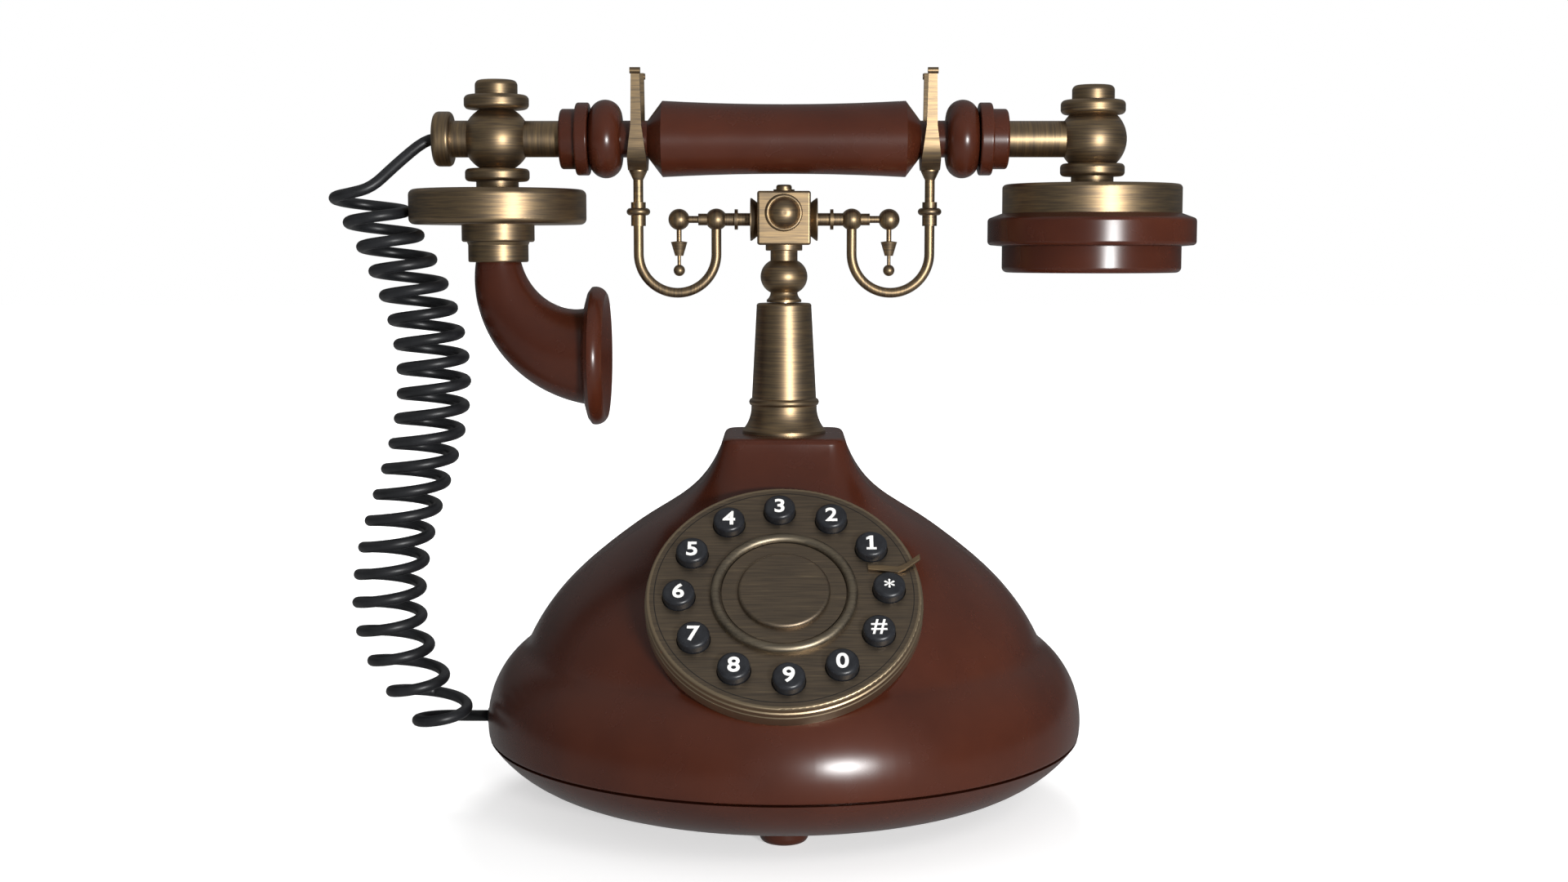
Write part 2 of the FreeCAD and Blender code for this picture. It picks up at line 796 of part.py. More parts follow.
def make_dial():
    rim = s.dial_radius
    inside = rim - s.dial_rim_wall
    step = s.dial_depth / 4
    outline = [
        corner(0, 0),
        corner(rim - 0.6, 0, 0.5),
        corner(rim - 0.6, -step),
        corner(rim - 0.2, -step * 1.15),
        corner(rim - 0.2, -step * 2),
        corner(rim, -step * 2.15),
        corner(rim, -s.dial_depth),
        corner(inside, -s.dial_depth),
        corner(inside, -s.dial_face),
        corner(0, -s.dial_face),
    ]
    body = turned("dial_turned", outline, dial_at, dial_lean)
    turning = body.Tip
    sketch = sketch_on(body, "XY_Plane")
    hole = sketch.addGeometry(Part.Circle(FreeCAD.Vector(0, number(s.key_circle), 0), AXIS_Z, 1), False)
    fix(sketch, hole, 3, s.key_circle * sine(s.key_turn) * -1, s.key_circle * cosine(s.key_turn))
    size = s.key_radius + s.key_clearance
    index = sketch.addConstraint(Sketcher.Constraint("Radius", hole, size.value))
    sketch.setExpression(f"Constraints[{index}]", size.text)
    doc.recompute()
    before = turning.Shape.Volume
    pocket = body.newObject("PartDesign::Pocket", "key_hole")
    pocket.Profile = sketch
    pocket.Type = "ThroughAll"
    pocket.Midplane = True
    doc.recompute()
    pattern = body.newObject("PartDesign::PolarPattern", "key_holes")
    pattern.Originals = [pocket]
    pattern.Axis = (sketch, ["N_Axis"])
    pattern.Angle = 360
    pattern.Occurrences = 12
    body.Tip = pattern
    doc.recompute()
    if body.Shape.Volume > before - 11 * math.pi * size.value ** 2:
        raise RuntimeError("the key holes don't cut the dial")
    keep("dial_plate", body)

    outer = s.centre_ring_radius
    ring = [
        corner(outer - s.centre_ring_width, 0),
        corner(outer, 0),
        corner(outer, 0.6),
        through(outer - s.centre_ring_width / 2, s.centre_ring_height),
        corner(outer - s.centre_ring_width, 0.6),
    ]
    keep("dial_centre_ring", turned("centre_ring", ring, dial_at, dial_lean))
    plate = outer - s.centre_ring_width - s.dial_clearance
    disc = [
        corner(0, 0),
        corner(plate, 0),
        corner(plate, s.centre_plate_height),
        corner(s.centre_disc_radius, s.centre_plate_height),
        corner(s.centre_disc_radius, s.centre_disc_height, 1.2),
        corner(0, s.centre_disc_height),
    ]
    keep("dial_centre_disc", turned("centre_disc", disc, dial_at, dial_lean))

    # bent strip from the face to a lug over the rim, drawn in a plane square to the face
    reach_in = s.key_circle - s.key_radius
    reach_out = s.dial_radius + 1.4
    bend = s.dial_radius - 5.0
    outline = [
        corner(reach_in, 0),
        corner(bend, 0),
        corner(reach_out, 1.4),
        corner(reach_out, s.stop_thick + 1.4),
        corner(bend, s.stop_thick),
        corner(reach_in, s.stop_thick),
    ]
    between_keys = (AXIS_Y, s.key_turn + 15)
    keep("finger_stop", padded("finger_stop_pad", "XZ_Plane", outline, s.stop_width,
                               dial_at, dial_lean, True, between_keys))

    flange_low = -s.dial_face - s.key_play - s.key_flange_height
    mat_top = flange_low - s.key_travel - s.key_spare
    sheet_radius = inside - s.dial_clearance
    mat_at = on_dial(0, 0, mat_top - s.mat_height)
    keep("keypad_mat", rod("mat", sheet_radius, s.mat_height, mat_at, dial_lean))
    board_at = on_dial(0, 0, mat_top - s.mat_height - s.board_height)
    keep("keypad_board", rod("pad_board", sheet_radius, s.board_height, board_at, dial_lean))


KEYS = ("3", "2", "1", "star", "hash", "0", "9", "8", "7", "6", "5", "4")


def make_keys():
    flange_top = -s.dial_face - s.key_play
    outline = [
        corner(0, flange_top - s.key_flange_height),
        corner(s.key_radius + s.key_flange, flange_top - s.key_flange_height),
        corner(s.key_radius + s.key_flange, flange_top),
        corner(s.key_radius, flange_top),
        corner(s.key_radius, s.key_height, s.key_edge),
        corner(0, s.key_height),
    ]
    for index, name in enumerate(KEYS):
        angle = 90 + s.key_turn - index * 30
        at = on_dial(s.key_circle * cosine(angle), s.key_circle * sine(angle), 0)
        keep(f"key_{name}", turned(f"key_{name}_turned", outline, at, dial_lean))


def make_column():
    low = -s.column_spigot_length
    bead_low = s.column_flare + 0.1
    bead_high = bead_low + s.column_bead_height
    ledge = s.rod_radius + s.hook_gap
    outline = [
        corner(ledge, low),
        corner(column_spigot, low),
        corner(column_spigot, 0),
        corner(s.column_foot, 0),
        corner(s.column_foot, 1.0),
        through(s.column_waist + 0.7, s.column_flare * 0.52),
        corner(s.column_waist, s.column_flare),
        corner(s.column_waist, bead_low),
        through(s.column_bead, (bead_low + bead_high) / 2),
        corner(s.column_waist - 0.2, bead_high),
        corner(s.column_top, s.column_height, 1.0),
        corner(bush_radius, s.column_height),
        corner(bush_radius, s.column_height - s.bush_length),
        corner(column_bore, s.column_height - s.bush_length),
        corner(column_bore, low + s.ledge_height),
        corner(ledge, low + s.ledge_height),
    ]
    keep("column", turned("column_turned", outline, (0, 0, plateau)))
    nut_top = plateau - s.shell_wall - s.bracket_thick
    nut = rod("nut_disc", s.nut_radius, s.nut_height, (0, 0, nut_top - s.nut_height))
    keep("column_nut", cut("nut_cut", nut, rod("nut_bore", column_spigot, s.nut_height * 3,
                                               (0, 0, nut_top - s.nut_height * 2))))
    running = s.rod_radius + s.rod_running
    bush = [
        corner(running, 0),
        corner(bush_radius, 0),
        corner(bush_radius, s.bush_length),
        corner(running, s.bush_length),
    ]
    keep("guide_bush", turned("bush_turned", bush, (0, 0, column_top - s.bush_length)))

    # plunger rod with the collar that the spring pushes
    collar_top = column_top - s.bush_length - s.hook_travel - s.hook_gap * 2
    low_end = plateau - s.rod_below
    shaft = [
        corner(0, 0),
        corner(s.rod_radius, 0),
        corner(s.rod_radius, collar_top - s.rod_collar_height - low_end),
        corner(rod_collar, collar_top - s.rod_collar_height - low_end),
        corner(rod_collar, collar_top - low_end),
        corner(s.rod_radius, collar_top - low_end),
        corner(s.rod_radius, cradle_bottom + s.socket_depth - low_end),
        corner(0, cradle_bottom + s.socket_depth - low_end),
    ]
    keep("plunger_rod", turned("plunger_turned", shaft, (0, 0, low_end)))

    # hook switch on its bracket under the column nut
    bracket_top = plateau - s.shell_wall
    half = s.nut_radius + s.bracket_thick + 0.6
    tab = box("bracket_tab", half * 2, half * 2, s.bracket_thick,
              (-half, -half, bracket_top - s.bracket_thick))
    drop = s.rod_below + s.switch_height
    arm = box("bracket_arm", s.bracket_thick, s.switch_width * 2, drop,
              (-half, -s.switch_width, bracket_top - drop))
    bracket = fuse("bracket_whole", tab, arm)
    hole = rod("bracket_hole", column_spigot, s.bracket_thick * 4, (0, 0, bracket_top - s.bracket_thick * 3))
    keep("switch_bracket", cut("bracket_cut", bracket, hole))
    switch_top = low_end - s.hook_gap
    keep("hook_switch", box("switch_case", s.switch_length, s.switch_width, s.switch_height,
                            (-half + s.bracket_thick, -s.switch_width / 2, switch_top - s.switch_height)))
    return plateau + low + s.ledge_height, collar_top - s.rod_collar_height


def make_cradle():
    high = s.baluster_height
    outline = [
        corner(s.rod_radius, 0),
        corner(s.baluster_foot, 0),
        corner(s.baluster_foot, 0.8),
        through(s.baluster_neck + 0.35, 1.9),
        corner(s.baluster_neck, s.bulb_rise - s.bulb_half),
        through(s.bulb_radius, s.bulb_rise),
        corner(s.baluster_neck, s.bulb_rise + s.bulb_half),
        corner(s.baluster_neck, high - s.collar_height),
        corner(s.collar_radius, high - s.collar_height, 0.4),
        corner(s.collar_radius, high),
        corner(0, high),
        corner(0, s.socket_depth),
        corner(s.rod_radius, s.socket_depth),
    ]
    keep("baluster", turned("baluster_turned", outline, (0, 0, cradle_bottom)))

    half = s.block_size / 2
    block = padded("block_pad", "XY_Plane", rectangle(half, half), s.block_size, (0, 0, block_bottom))
    pad = block.Tip
    edges = block.newObject("PartDesign::Fillet", "block_edges")
    edges.Base = (pad, ["Face1"])
    edges.UseAllEdges = True
    bind(edges, "Radius", s.block_edge)
    block.Tip = edges
    keep("cradle_block", block)

    dome = [
        corner(0, 0),
        corner(s.rosette_radius, 0),
        corner(s.rosette_radius, 0.5),
        through(s.rosette_radius - 0.4, 1.1),
        corner(s.rosette_dome, 1.0),
        through(s.rosette_dome * 0.72, 3.1),
        corner(0.8, 4.2),
        corner(0, 4.2),
    ]
    rosettes = []
    for side in (-1, 1):
        at = (0, half * side, block_bottom + s.rosette_rise)
        rosettes.append(turned("rosette", dome, at, (AXIS_X, -90 * side)))
    keep("rosettes", group("rosette_pair", *rosettes))
    button = [
        corner(0, 0),
        corner(s.finial_foot, 0),
        corner(s.finial_foot, 0.7),
        corner(s.finial_radius, 0.7),
        corner(s.finial_radius, s.finial_height, 0.8),
        corner(0, s.finial_height),
    ]
    keep("top_finial", turned("finial_turned", button, (0, 0, block_bottom + s.block_size)))
    make_arms(half)
    make_forks()


def make_arms(half):
    ball = s.inner_ball_reach - half
    tip = s.end_ball_reach - half
    collar = s.arm_collar_at
    outline = [
        corner(0, 0),
        corner(s.escutcheon_radius - 1.5, 0),
        corner(s.escutcheon_radius, s.escutcheon_depth - 0.5),
        corner(s.escutcheon_radius, s.escutcheon_depth),
        corner(s.arm_radius + 0.6, s.escutcheon_depth - 0.8),
        corner(s.arm_radius, s.escutcheon_depth),
        corner(s.arm_radius, collar - 0.55),
        corner(s.arm_collar, collar - 0.55),
        corner(s.arm_collar, collar + 0.55),
        corner(s.arm_radius, collar + 0.55),
        corner(s.arm_radius, ball - leg(s.inner_ball, s.arm_radius)),
        through(s.inner_ball, ball),
        corner(s.sleeve_radius, ball + leg(s.inner_ball, s.sleeve_radius)),
        corner(s.sleeve_radius, ball + s.inner_ball + 2.4),
        corner(s.thin_arm_radius, ball + s.inner_ball + 2.4),
        corner(s.thin_arm_radius, tip - leg(s.end_ball, s.thin_arm_radius)),
        through(s.end_ball, tip),
        corner(0, tip + s.end_ball),
    ]
    arms = []
    for side in (-1, 1):
        arms.append(turned("arm", outline, (half * side, 0, arm_height), (AXIS_Y, 90 * side)))
    keep("cradle_arms", group("arm_pair", *arms))

    # turned drops that hang from the end balls
    low = -s.drop_length
    pendant = [
        corner(0, low - s.drop_ball),
        through(s.drop_ball, low),
        corner(0.6, low + leg(s.drop_ball, 0.6)),
        corner(0.6, low + 4.9),
        corner(s.drop_cone / 2, low + 4.9),
        corner(s.drop_cone, low + 9.6),
        corner(s.drop_rod, low + 9.9),
        corner(s.drop_rod, 0),
        corner(0, 0),
    ]
    drops = []
    for side in (-1, 1):
        drops.append(turned("drop", pendant, (s.end_ball_reach * side, 0, arm_height)))
    keep("drops", cut("drop_cut", group("drop_pair", *drops), pieces["cradle_arms"]))

    tubes = []
    for side in (-1, 1):
        body = new_body("hook_tube")
        near = s.inner_ball_reach * side
        far = near + s.tube_bend * 2 * side
        centre = near + s.tube_bend * side
        bend = arm_height - s.tube_drop
        path = sketch_on(body, "XZ_Plane")
        draw(path, [
            corner(near, arm_height),
            corner(near, bend),
            through(centre, bend - s.tube_bend),
            corner(far, bend),
            corner(far, stem_bottom),
        ], closed=False)
        section = sketch_on(body, "XY_Plane", (near, 0, arm_height))
        ring = section.addGeometry(Part.Circle(FreeCAD.Vector(0, 0, 0), AXIS_Z, number(s.tube_radius)), False)
        section.addConstraint(Sketcher.Constraint("Coincident", ring, 3, -1, 1))
        index = section.addConstraint(Sketcher.Constraint("Radius", ring, number(s.tube_radius)))
        section.setExpression(f"Constraints[{index}]", s.tube_radius.text)
        pipe = body.newObject("PartDesign::AdditivePipe", "hook_tube_pipe")
        pipe.Profile = section
        pipe.Spine = (path, ["Edge1", "Edge2", "Edge3"])
        body.Tip = pipe
        tubes.append(body)
    keep("hook_tubes", cut("tube_cut", group("tube_pair", *tubes), pieces["cradle_arms"]))


def fork_reach():
    return s.inner_ball_reach + s.tube_bend * 2


def make_forks():
    stem = [
        corner(0, 0),
        corner(s.stem_sleeve, 0),
        corner(s.stem_sleeve, 3.6),
        through(s.stem_bulge, 4.8),
        corner(s.stem_sleeve, 6.0),
        corner(s.stem_sleeve, 8.0),
        corner(s.tube_radius, 8.0),
        corner(s.tube_radius, s.stem_height - 3.3),
        corner(s.stem_cup, s.stem_height - 0.4),
        corner(s.stem_cup, s.stem_height),
        corner(0, s.stem_height),
    ]
    stems, forks = [], []
    inner = s.neck_radius + s.seat_gap
    bend = s.fork_bottom + inner
    outer = inner + s.fork_side
    tip_in = s.fork_tip_reach - s.fork_tip_thick / 2
    tip_out = s.fork_tip_reach + s.fork_tip_thick / 2
    top = s.fork_height
    side_view = [
        corner(-s.stem_cup, 0),
        corner(s.stem_cup, 0),
        through(outer - 2.1, bend * 0.3),
        corner(outer, bend),
        corner(tip_out, top),
        corner(tip_in, top),
        corner(inner, bend),
        through(0, s.fork_bottom),
        corner(-inner, bend),
        corner(-tip_in, top),
        corner(-tip_out, top),
        corner(-outer, bend),
        through(-(outer - 2.1), bend * 0.3),
    ]
    waist = (s.fork_foot_half + s.fork_tip_half) / 2 - 0.5
    front_view = [
        corner(s.fork_foot_half, 0),
        corner(s.fork_foot_half, s.fork_bottom),
        corner(waist, bend + 4.0),
        corner(s.fork_tip_half, top),
        corner(-s.fork_tip_half, top),
        corner(-waist, bend + 4.0),
        corner(-s.fork_foot_half, s.fork_bottom),
        corner(-s.fork_foot_half, 0),
    ]
    for side in (-1, 1):
        x = fork_reach() * side
        stems.append(turned("stem", stem, (x, 0, stem_bottom)))
        at = (x, 0, fork_bottom)
        strap = padded("fork_strap", "YZ_Plane", side_view, s.fork_foot_half * 3, at, None, True)
        width = padded("fork_width", "XZ_Plane", front_view, tip_out * 4, at, None, True)
        blade = common("fork_blade", strap, width)
        beads = []
        for front in (-1, 1):
            bead_at = (x - s.fork_tip_half * 1.25, tip_out * front, fork_bottom + top - s.fork_bead)
            beads.append(rod("fork_bead", s.fork_bead, s.fork_tip_half * 2.5, bead_at, (AXIS_Y, 90)))
        forks.append(fuse("fork_whole", blade, *beads))
    keep("fork_stems", group("stem_pair", *stems))
    keep("forks", group("fork_pair", *forks))


def make_grip():
    bead = s.neck_end + s.bead_length / 2
    bead_end = s.neck_end + s.bead_length
    right = [
        corner(s.grip_end, s.grip_half),
        corner(s.neck_radius, s.cone_end),
        corner(s.neck_radius, s.neck_end),
        corner(s.bead_foot, s.neck_end),
        through(s.bead_radius, bead),
        corner(s.bead_foot, bead_end),
        corner(s.grip_bore, bead_end),
    ]
    left = [(kind, across, -along, rounding) for kind, across, along, rounding in reversed(right)]
    outline = left + [through(s.grip_waist, 0)] + right
    keep("grip", turned("grip_turned", outline, (0, 0, handset_height), None, True))

    total = s.ring_wide_length + s.ring_small_length
    ring = [
        corner(s.grip_bore, 0),
        corner(s.ring_wide, 0, 0.6),
        corner(s.ring_wide, s.ring_wide_length, 0.8),
        corner(s.ring_small, s.ring_wide_length),
        corner(s.ring_small, total, 1.0),
        corner(s.grip_bore, total),
    ]
    rings, tubes, balls, caps, collars = [], [], [], [], []
    for side, reach, flat in ((-1, s.left_reach, s.left_flat), (1, s.right_reach, s.right_flat)):
        outward = (AXIS_Y, 90 * side)
        rings.append(turned("end_ring", ring, (bead_end * side, 0, handset_height), outward))
        start = bead_end + total
        tube = [
            corner(s.arm_tube_bore, -s.arm_tube_spigot),
            corner(s.grip_bore, -s.arm_tube_spigot),
            corner(s.grip_bore, 0),
            corner(s.arm_tube_radius, 0),
            corner(s.arm_tube_radius, reach - start),
            corner(s.arm_tube_bore, reach - start),
        ]
        face = leg(s.ball_radius, flat)
        ball = [
            corner(0, -flat),
            corner(face, -flat),
            through(s.ball_radius, 0),
            corner(face, flat),
            corner(0, flat),
        ]
        centre = (reach * side, 0, handset_height)
        sphere = turned("ball", ball, centre)
        balls.append(sphere)
        arm = turned("arm_tube", tube, (start * side, 0, handset_height), outward)
        tubes.append(cut("arm_tube_cut", arm, sphere))
        cap = [
            corner(0, 0),
            corner(s.cap_radius, 0, 1.6),
            corner(s.cap_radius, s.cap_height, 1.6),
            corner(s.knob_radius, s.cap_height),
            corner(s.knob_radius, s.cap_height + s.knob_height, 1.8),
            corner(0, s.cap_height + s.knob_height),
        ]
        caps.append(turned("top_cap", cap, (reach * side, 0, handset_height + flat)))
        collar = [
            corner(0, 0),
            corner(s.collar_plate, 0, 1.4),
            corner(s.collar_plate, -s.collar_plate_height, 1.4),
            corner(s.collar_neck, -s.collar_plate_height),
            corner(s.collar_neck, -s.collar_plate_height - s.collar_neck_height),
            corner(0, -s.collar_plate_height - s.collar_neck_height),
        ]
        collars.append(turned("lower_collar", collar, (reach * side, 0, handset_height - flat)))
    keep("end_rings", group("ring_pair", *rings))
    keep("arm_tubes", group("arm_tube_pair", *tubes))
    keep("ball_joints", group("ball_pair", *balls))
    keep("top_caps", group("cap_pair", *caps))
    keep("lower_collars", group("collar_pair", *collars))

    flange = [
        corner(0, 0),
        corner(s.neck_radius, 0),
        corner(s.neck_radius, s.flange_reach - s.flange_width - s.left_reach),
        corner(s.flange_radius, s.flange_reach - s.flange_width - s.left_reach, 1.4),
        corner(s.flange_radius, s.flange_reach - s.left_reach, 1.8),
        corner(0, s.flange_reach - s.left_reach),
    ]
    stub = turned("flange_turned", flange, (-s.left_reach, 0, handset_height), (AXIS_Y, -90))
    keep("cord_flange", cut("flange_cut", stub, balls[0]))


def collar_low(flat):
    # underside of the neck below a ball joint
    return handset_height - flat - s.collar_plate_height - s.collar_neck_height


def make_transmitter():
    top = collar_low(s.left_flat)
    x = -s.left_reach
    well = s.microphone_radius + s.dial_clearance
    disc = [
        corner(0, 0),
        corner(s.disc_radius, 0, s.disc_edge),
        corner(s.disc_radius, -s.disc_height, s.disc_edge),
        corner(well, -s.disc_height),
        corner(well, -s.disc_height + s.microphone_height),
        corner(0, -s.disc_height + s.microphone_height),
    ]
    keep("transmitter_disc", turned("transmitter_turned", disc, (x, 0, top)))
    low = top - s.disc_height
    keep("microphone", rod("microphone_case", s.microphone_radius, s.microphone_height, (x, 0, low)))
    step_end = s.mouth_collar_height + s.mouth_step_height
    collar = [
        corner(s.mouth_bore, 0),
        corner(s.mouth_collar, 0),
        corner(s.mouth_collar, -s.mouth_collar_height, 0.8),
        corner(s.mouth_step + 0.4, -s.mouth_collar_height),
        corner(s.mouth_step, -s.mouth_collar_height - 1.0),
        corner(s.mouth_step, -step_end, 0.6),
        corner(s.mouth_bore, -step_end),
    ]
    keep("transmitter_collar", turned("mouth_collar_turned", collar, (x, 0, low)))
    make_horn(x, low - step_end)


def make_horn(x, start):
    # a flared elbow through circles along a quarter bend, hollow, with a rolled rim
    steps = 6

    def elbow(name, inset):
        circles = []
        for index in range(steps + 1):
            share = index / steps
            angle = 90 * share
            circle = doc.addObject("Part::Circle", name + "_section")
            radius = s.horn_start + (s.horn_end - s.horn_start) * share - inset
            bind(circle, "Radius", radius)
            at = (
                x + s.horn_bend * (1 - math.cos(math.radians(angle))),
                0,
                start - s.horn_bend * math.sin(math.radians(angle)),
            )
            place(circle, at, (AXIS_Y, 180 - angle))
            circles.append(circle)
        loft = doc.addObject("Part::Loft", name)
        loft.Sections = circles
        loft.Solid = True
        return loft

    outer = elbow("horn_outer", 0)
    inner = elbow("horn_inner", s.horn_wall)
    mouth = x + s.horn_bend
    axis = start - s.horn_bend
    back = -s.horn_rim_width * 0.35
    rim_outline = [
        corner(s.horn_end - s.horn_wall, back),
        corner(s.horn_end, back),
        corner(s.horn_rim - 1.6, back + 1.4),
        corner(s.horn_rim, back + 2.6),
        through(s.horn_rim - 0.3, back + s.horn_rim_width * 0.75),
        corner(s.horn_rim - 2.2, back + s.horn_rim_width),
        through(s.horn_rim - 4.6, back + s.horn_rim_width * 0.8),
        corner(s.horn_end - s.horn_wall, back + s.horn_rim_width * 0.3),
    ]
    rim = turned("horn_rim", rim_outline, (mouth, 0, axis), (AXIS_Y, 90))
    keep("horn", fuse("horn_whole", cut("horn_shell", outer, inner), rim))


def make_receiver():
    top = collar_low(s.right_flat)
    x = s.right_reach
    well = s.receiver_radius - s.receiver_wall
    cup = [
        corner(0, 0),
        corner(s.receiver_radius, 0, 1.4),
        corner(s.receiver_radius, -s.receiver_height),
        corner(well, -s.receiver_height),
        corner(well, -s.receiver_wall),
        corner(0, -s.receiver_wall),
    ]
    keep("receiver_cup", turned("receiver_turned", cup, (x, 0, top)))
    cap_top = top - s.receiver_height
    total = s.ear_ring_height + s.ear_cap_height
    cap = [
        corner(well, 0),
        corner(s.receiver_radius, 0),
        corner(s.ear_ring_radius, -1.8, 1.4),
        corner(s.ear_ring_radius, -s.ear_ring_height, 1.4),
        corner(s.ear_cap_radius, -s.ear_ring_height - 0.4),
        corner(s.ear_cap_radius, -total, 1.8),
        corner(s.ear_cap_radius - 4.0, -total),
        through(s.ear_cap_radius / 2, -total + s.ear_dish * 0.8),
        corner(s.ear_dish, -total + s.ear_dish),
        corner(0, -total + s.ear_dish),
        corner(0, -total + s.ear_dish + s.receiver_wall),
        corner(well, -total + s.ear_dish + s.receiver_wall),
    ]
    keep("receiver_cap", turned("receiver_cap_turned", cap, (x, 0, cap_top)))
    speaker_low = cap_top - total + s.ear_dish + s.receiver_wall
    keep("speaker", rod("speaker_case", s.speaker_radius, s.speaker_height, (x, 0, speaker_low)))


def arc_between(start, tangent, end):
    # the arc that leaves start along tangent and ends at end
    chord = end - start
    aside = tangent - chord * (tangent.dot(chord) / chord.dot(chord))
    if aside.Length < 1e-9:
        return Part.LineSegment(start, end).toShape()
    half_turn = tangent.getAngle(chord)
    middle = start + chord / 2 + aside.normalize() * (chord.Length / 2 * math.tan(half_turn / 2))
    return Part.Arc(start, middle, end).toShape()


def biarc(start, leave, end, arrive):
    # two arcs that share a tangent between two points with given tangents
    chord = end - start
    both = leave + arrive
    spread = 4 - both.dot(both)
    ahead = chord.dot(both)
    reach = (math.sqrt(ahead ** 2 + spread * chord.dot(chord)) - ahead) / spread
    joint = (start + leave * reach + end - arrive * reach) / 2
    first = arc_between(start, leave, joint)
    back = arc_between(end, -arrive, joint)
    return [first, back]


def tube_along(edges, radius):
    path = Part.Wire(Part.__sortEdges__(edges))
    start = path.OrderedVertexes[0].Point
    first = path.OrderedEdges[0]
    tangent = first.tangentAt(first.FirstParameter)
    if (first.valueAt(first.FirstParameter) - start).Length > 1e-6:
        tangent = first.tangentAt(first.LastParameter) * -1
    ring = Part.Wire(Part.Circle(start, tangent, radius).toShape())
    tube = path.makePipeShell([ring], True, False)
    expected = math.pi * radius ** 2 * path.Length
    if abs(tube.Volume - expected) > 0.02 * expected:
        raise RuntimeError(f"tube volume {tube.Volume:.1f} is not {expected:.1f}")
    return tube, path


LAST_TURN = 20
TOP_TURN = -0.25
END_TURN = LAST_TURN + 0.25


def make_cord():
    radius = number(s.cord_radius)
    coil = number(s.curl_radius)
    exit_height = number(handset_height)
    entry = FreeCAD.Vector(-number(s.bulge_radius + s.grommet_lip), 0, number(s.cord_entry_rise))
    first_rise = exit_height - 20.2
    swing_right, swing_left, end_x = -119.8, -136.6, -114.5

    def middle(turn):
        # where the curls' centre hangs after so many turns
        if turn < 7.5:
            return swing_right - 22.0 * (1 - math.sin(math.pi / 2 * turn / 7.5))
        if turn < 16:
            share = (turn - 7.5) / 8.5
            return swing_right + (swing_left - swing_right) * (1 - math.cos(math.pi * share)) / 2
        return swing_left + (end_x - swing_left) * ((turn - 16) / 4) ** 2

    sag = 5.5
    fall = first_rise - entry.z + sag

    def rise(turn):
        # the turns open a little downwards, and the last one lifts to the grommet
        share = turn / END_TURN
        lift = max(0, turn - 19.5) / 0.75
        return first_rise - fall * (0.83 * share + 0.17 * share ** 2) + lift ** 2 * sag

    def curl(turn):
        angle = math.pi - 2 * math.pi * turn
        back = -coil * turn / END_TURN
        across = middle(turn) + coil * math.cos(angle)
        return FreeCAD.Vector(across, back + coil * math.sin(angle), rise(turn))

    def heading(turn):
        return (curl(turn + 0.001) - curl(turn - 0.001)).normalize()

    turns = [TOP_TURN] + [index / 2 for index in range(2 * LAST_TURN + 1)] + [END_TURN]
    edges = []
    for before, after in zip(turns, turns[1:]):
        edges += biarc(curl(before), heading(before), curl(after), heading(after))
    top, bottom = curl(TOP_TURN), curl(END_TURN)
    top_end = top - heading(TOP_TURN) * radius * 2
    bottom_end = bottom + heading(END_TURN) * radius * 2
    edges.insert(0, Part.LineSegment(top_end, top).toShape())
    edges.append(Part.LineSegment(bottom, bottom_end).toShape())
    curls, path = tube_along(edges, radius)
    samples = [curl(TOP_TURN + index / 24) for index in range(int(24 * (END_TURN - TOP_TURN)))]
    gap = min(
        (one - two).Length
        for index, one in enumerate(samples)
        for two in samples[index + 16:index + 40]
    ) - 2 * radius
    print(f"cord curls: length {path.Length:.1f} mm, least gap to itself {gap:.2f} mm")
    if gap < 0.4:
        raise RuntimeError("the curls touch")
    tightest = min(edge.Curve.Radius for edge in path.Edges if hasattr(edge.Curve, "Radius"))
    print(f"cord curls: tightest bend {tightest:.2f} mm")
    add_shape("cord_curls", curls)

    flange = FreeCAD.Vector(-number(s.flange_reach), 0, exit_height)
    lead, lead_path = tube_along(biarc(flange, -AXIS_X, top_end, heading(TOP_TURN)), radius)
    bends = [edge.Curve.Radius for edge in lead_path.Edges]
    print(f"upper lead: tightest bend {min(bends):.1f} mm")
    print(f"upper lead: length {lead_path.Length:.1f} mm")
    add_shape("cord_upper_lead", lead)

    lower, lower_path = tube_along(biarc(bottom_end, heading(END_TURN), entry, AXIS_X), radius)
    print(f"lower lead: length {lower_path.Length:.1f} mm")
    add_shape("cord_lower_lead", lower)


def make_spring(low, high):
    # round wire wound between the column's ledge and the rod's collar
    wire = number(s.spring_wire)
    coil = number(spring_middle)
    turns = 9
    start, end = number(low) + wire * 1.5, number(high) - wire * 1.5

    def curl(turn):
        angle = 2 * math.pi * turn
        height = start + (end - start) * turn / turns
        return FreeCAD.Vector(coil * math.cos(angle), coil * math.sin(angle), height)

    def heading(turn):
        return (curl(turn + 0.001) - curl(turn - 0.001)).normalize()

    edges = []
    for index in range(2 * turns):
        before, after = index / 2, (index + 1) / 2
        edges += biarc(curl(before), heading(before), curl(after), heading(after))
    spring, path = tube_along(edges, wire)
    gap = (end - start) / turns - 2 * wire
    print(f"hook spring: wire length {path.Length:.1f} mm, gap between turns {gap:.2f} mm")
    add_shape("hook_spring", spring)


def add_shape(label, shape):
    feature = doc.addObject("Part::Feature", label + "_shape")
    feature.Shape = shape
    feature.Placement = FreeCAD.Placement()
    keep(label, feature)


make_feet()
make_dish()
make_base_screws()
make_shell()
make_insides()
make_dial()
make_keys()
spring_low, spring_high = make_column()
make_cradle()
make_grip()
make_transmitter()
make_receiver()
make_cord()
make_spring(spring_low, spring_high)
doc.recompute()

faults = [item.Label for item in doc.Objects if {"Invalid", "Error"} & set(item.State)]
faults += [label for label, item in pieces.items() if item.Shape.isNull() or not item.Shape.isValid()]
if faults:
    raise RuntimeError("not built: " + ", ".join(faults))

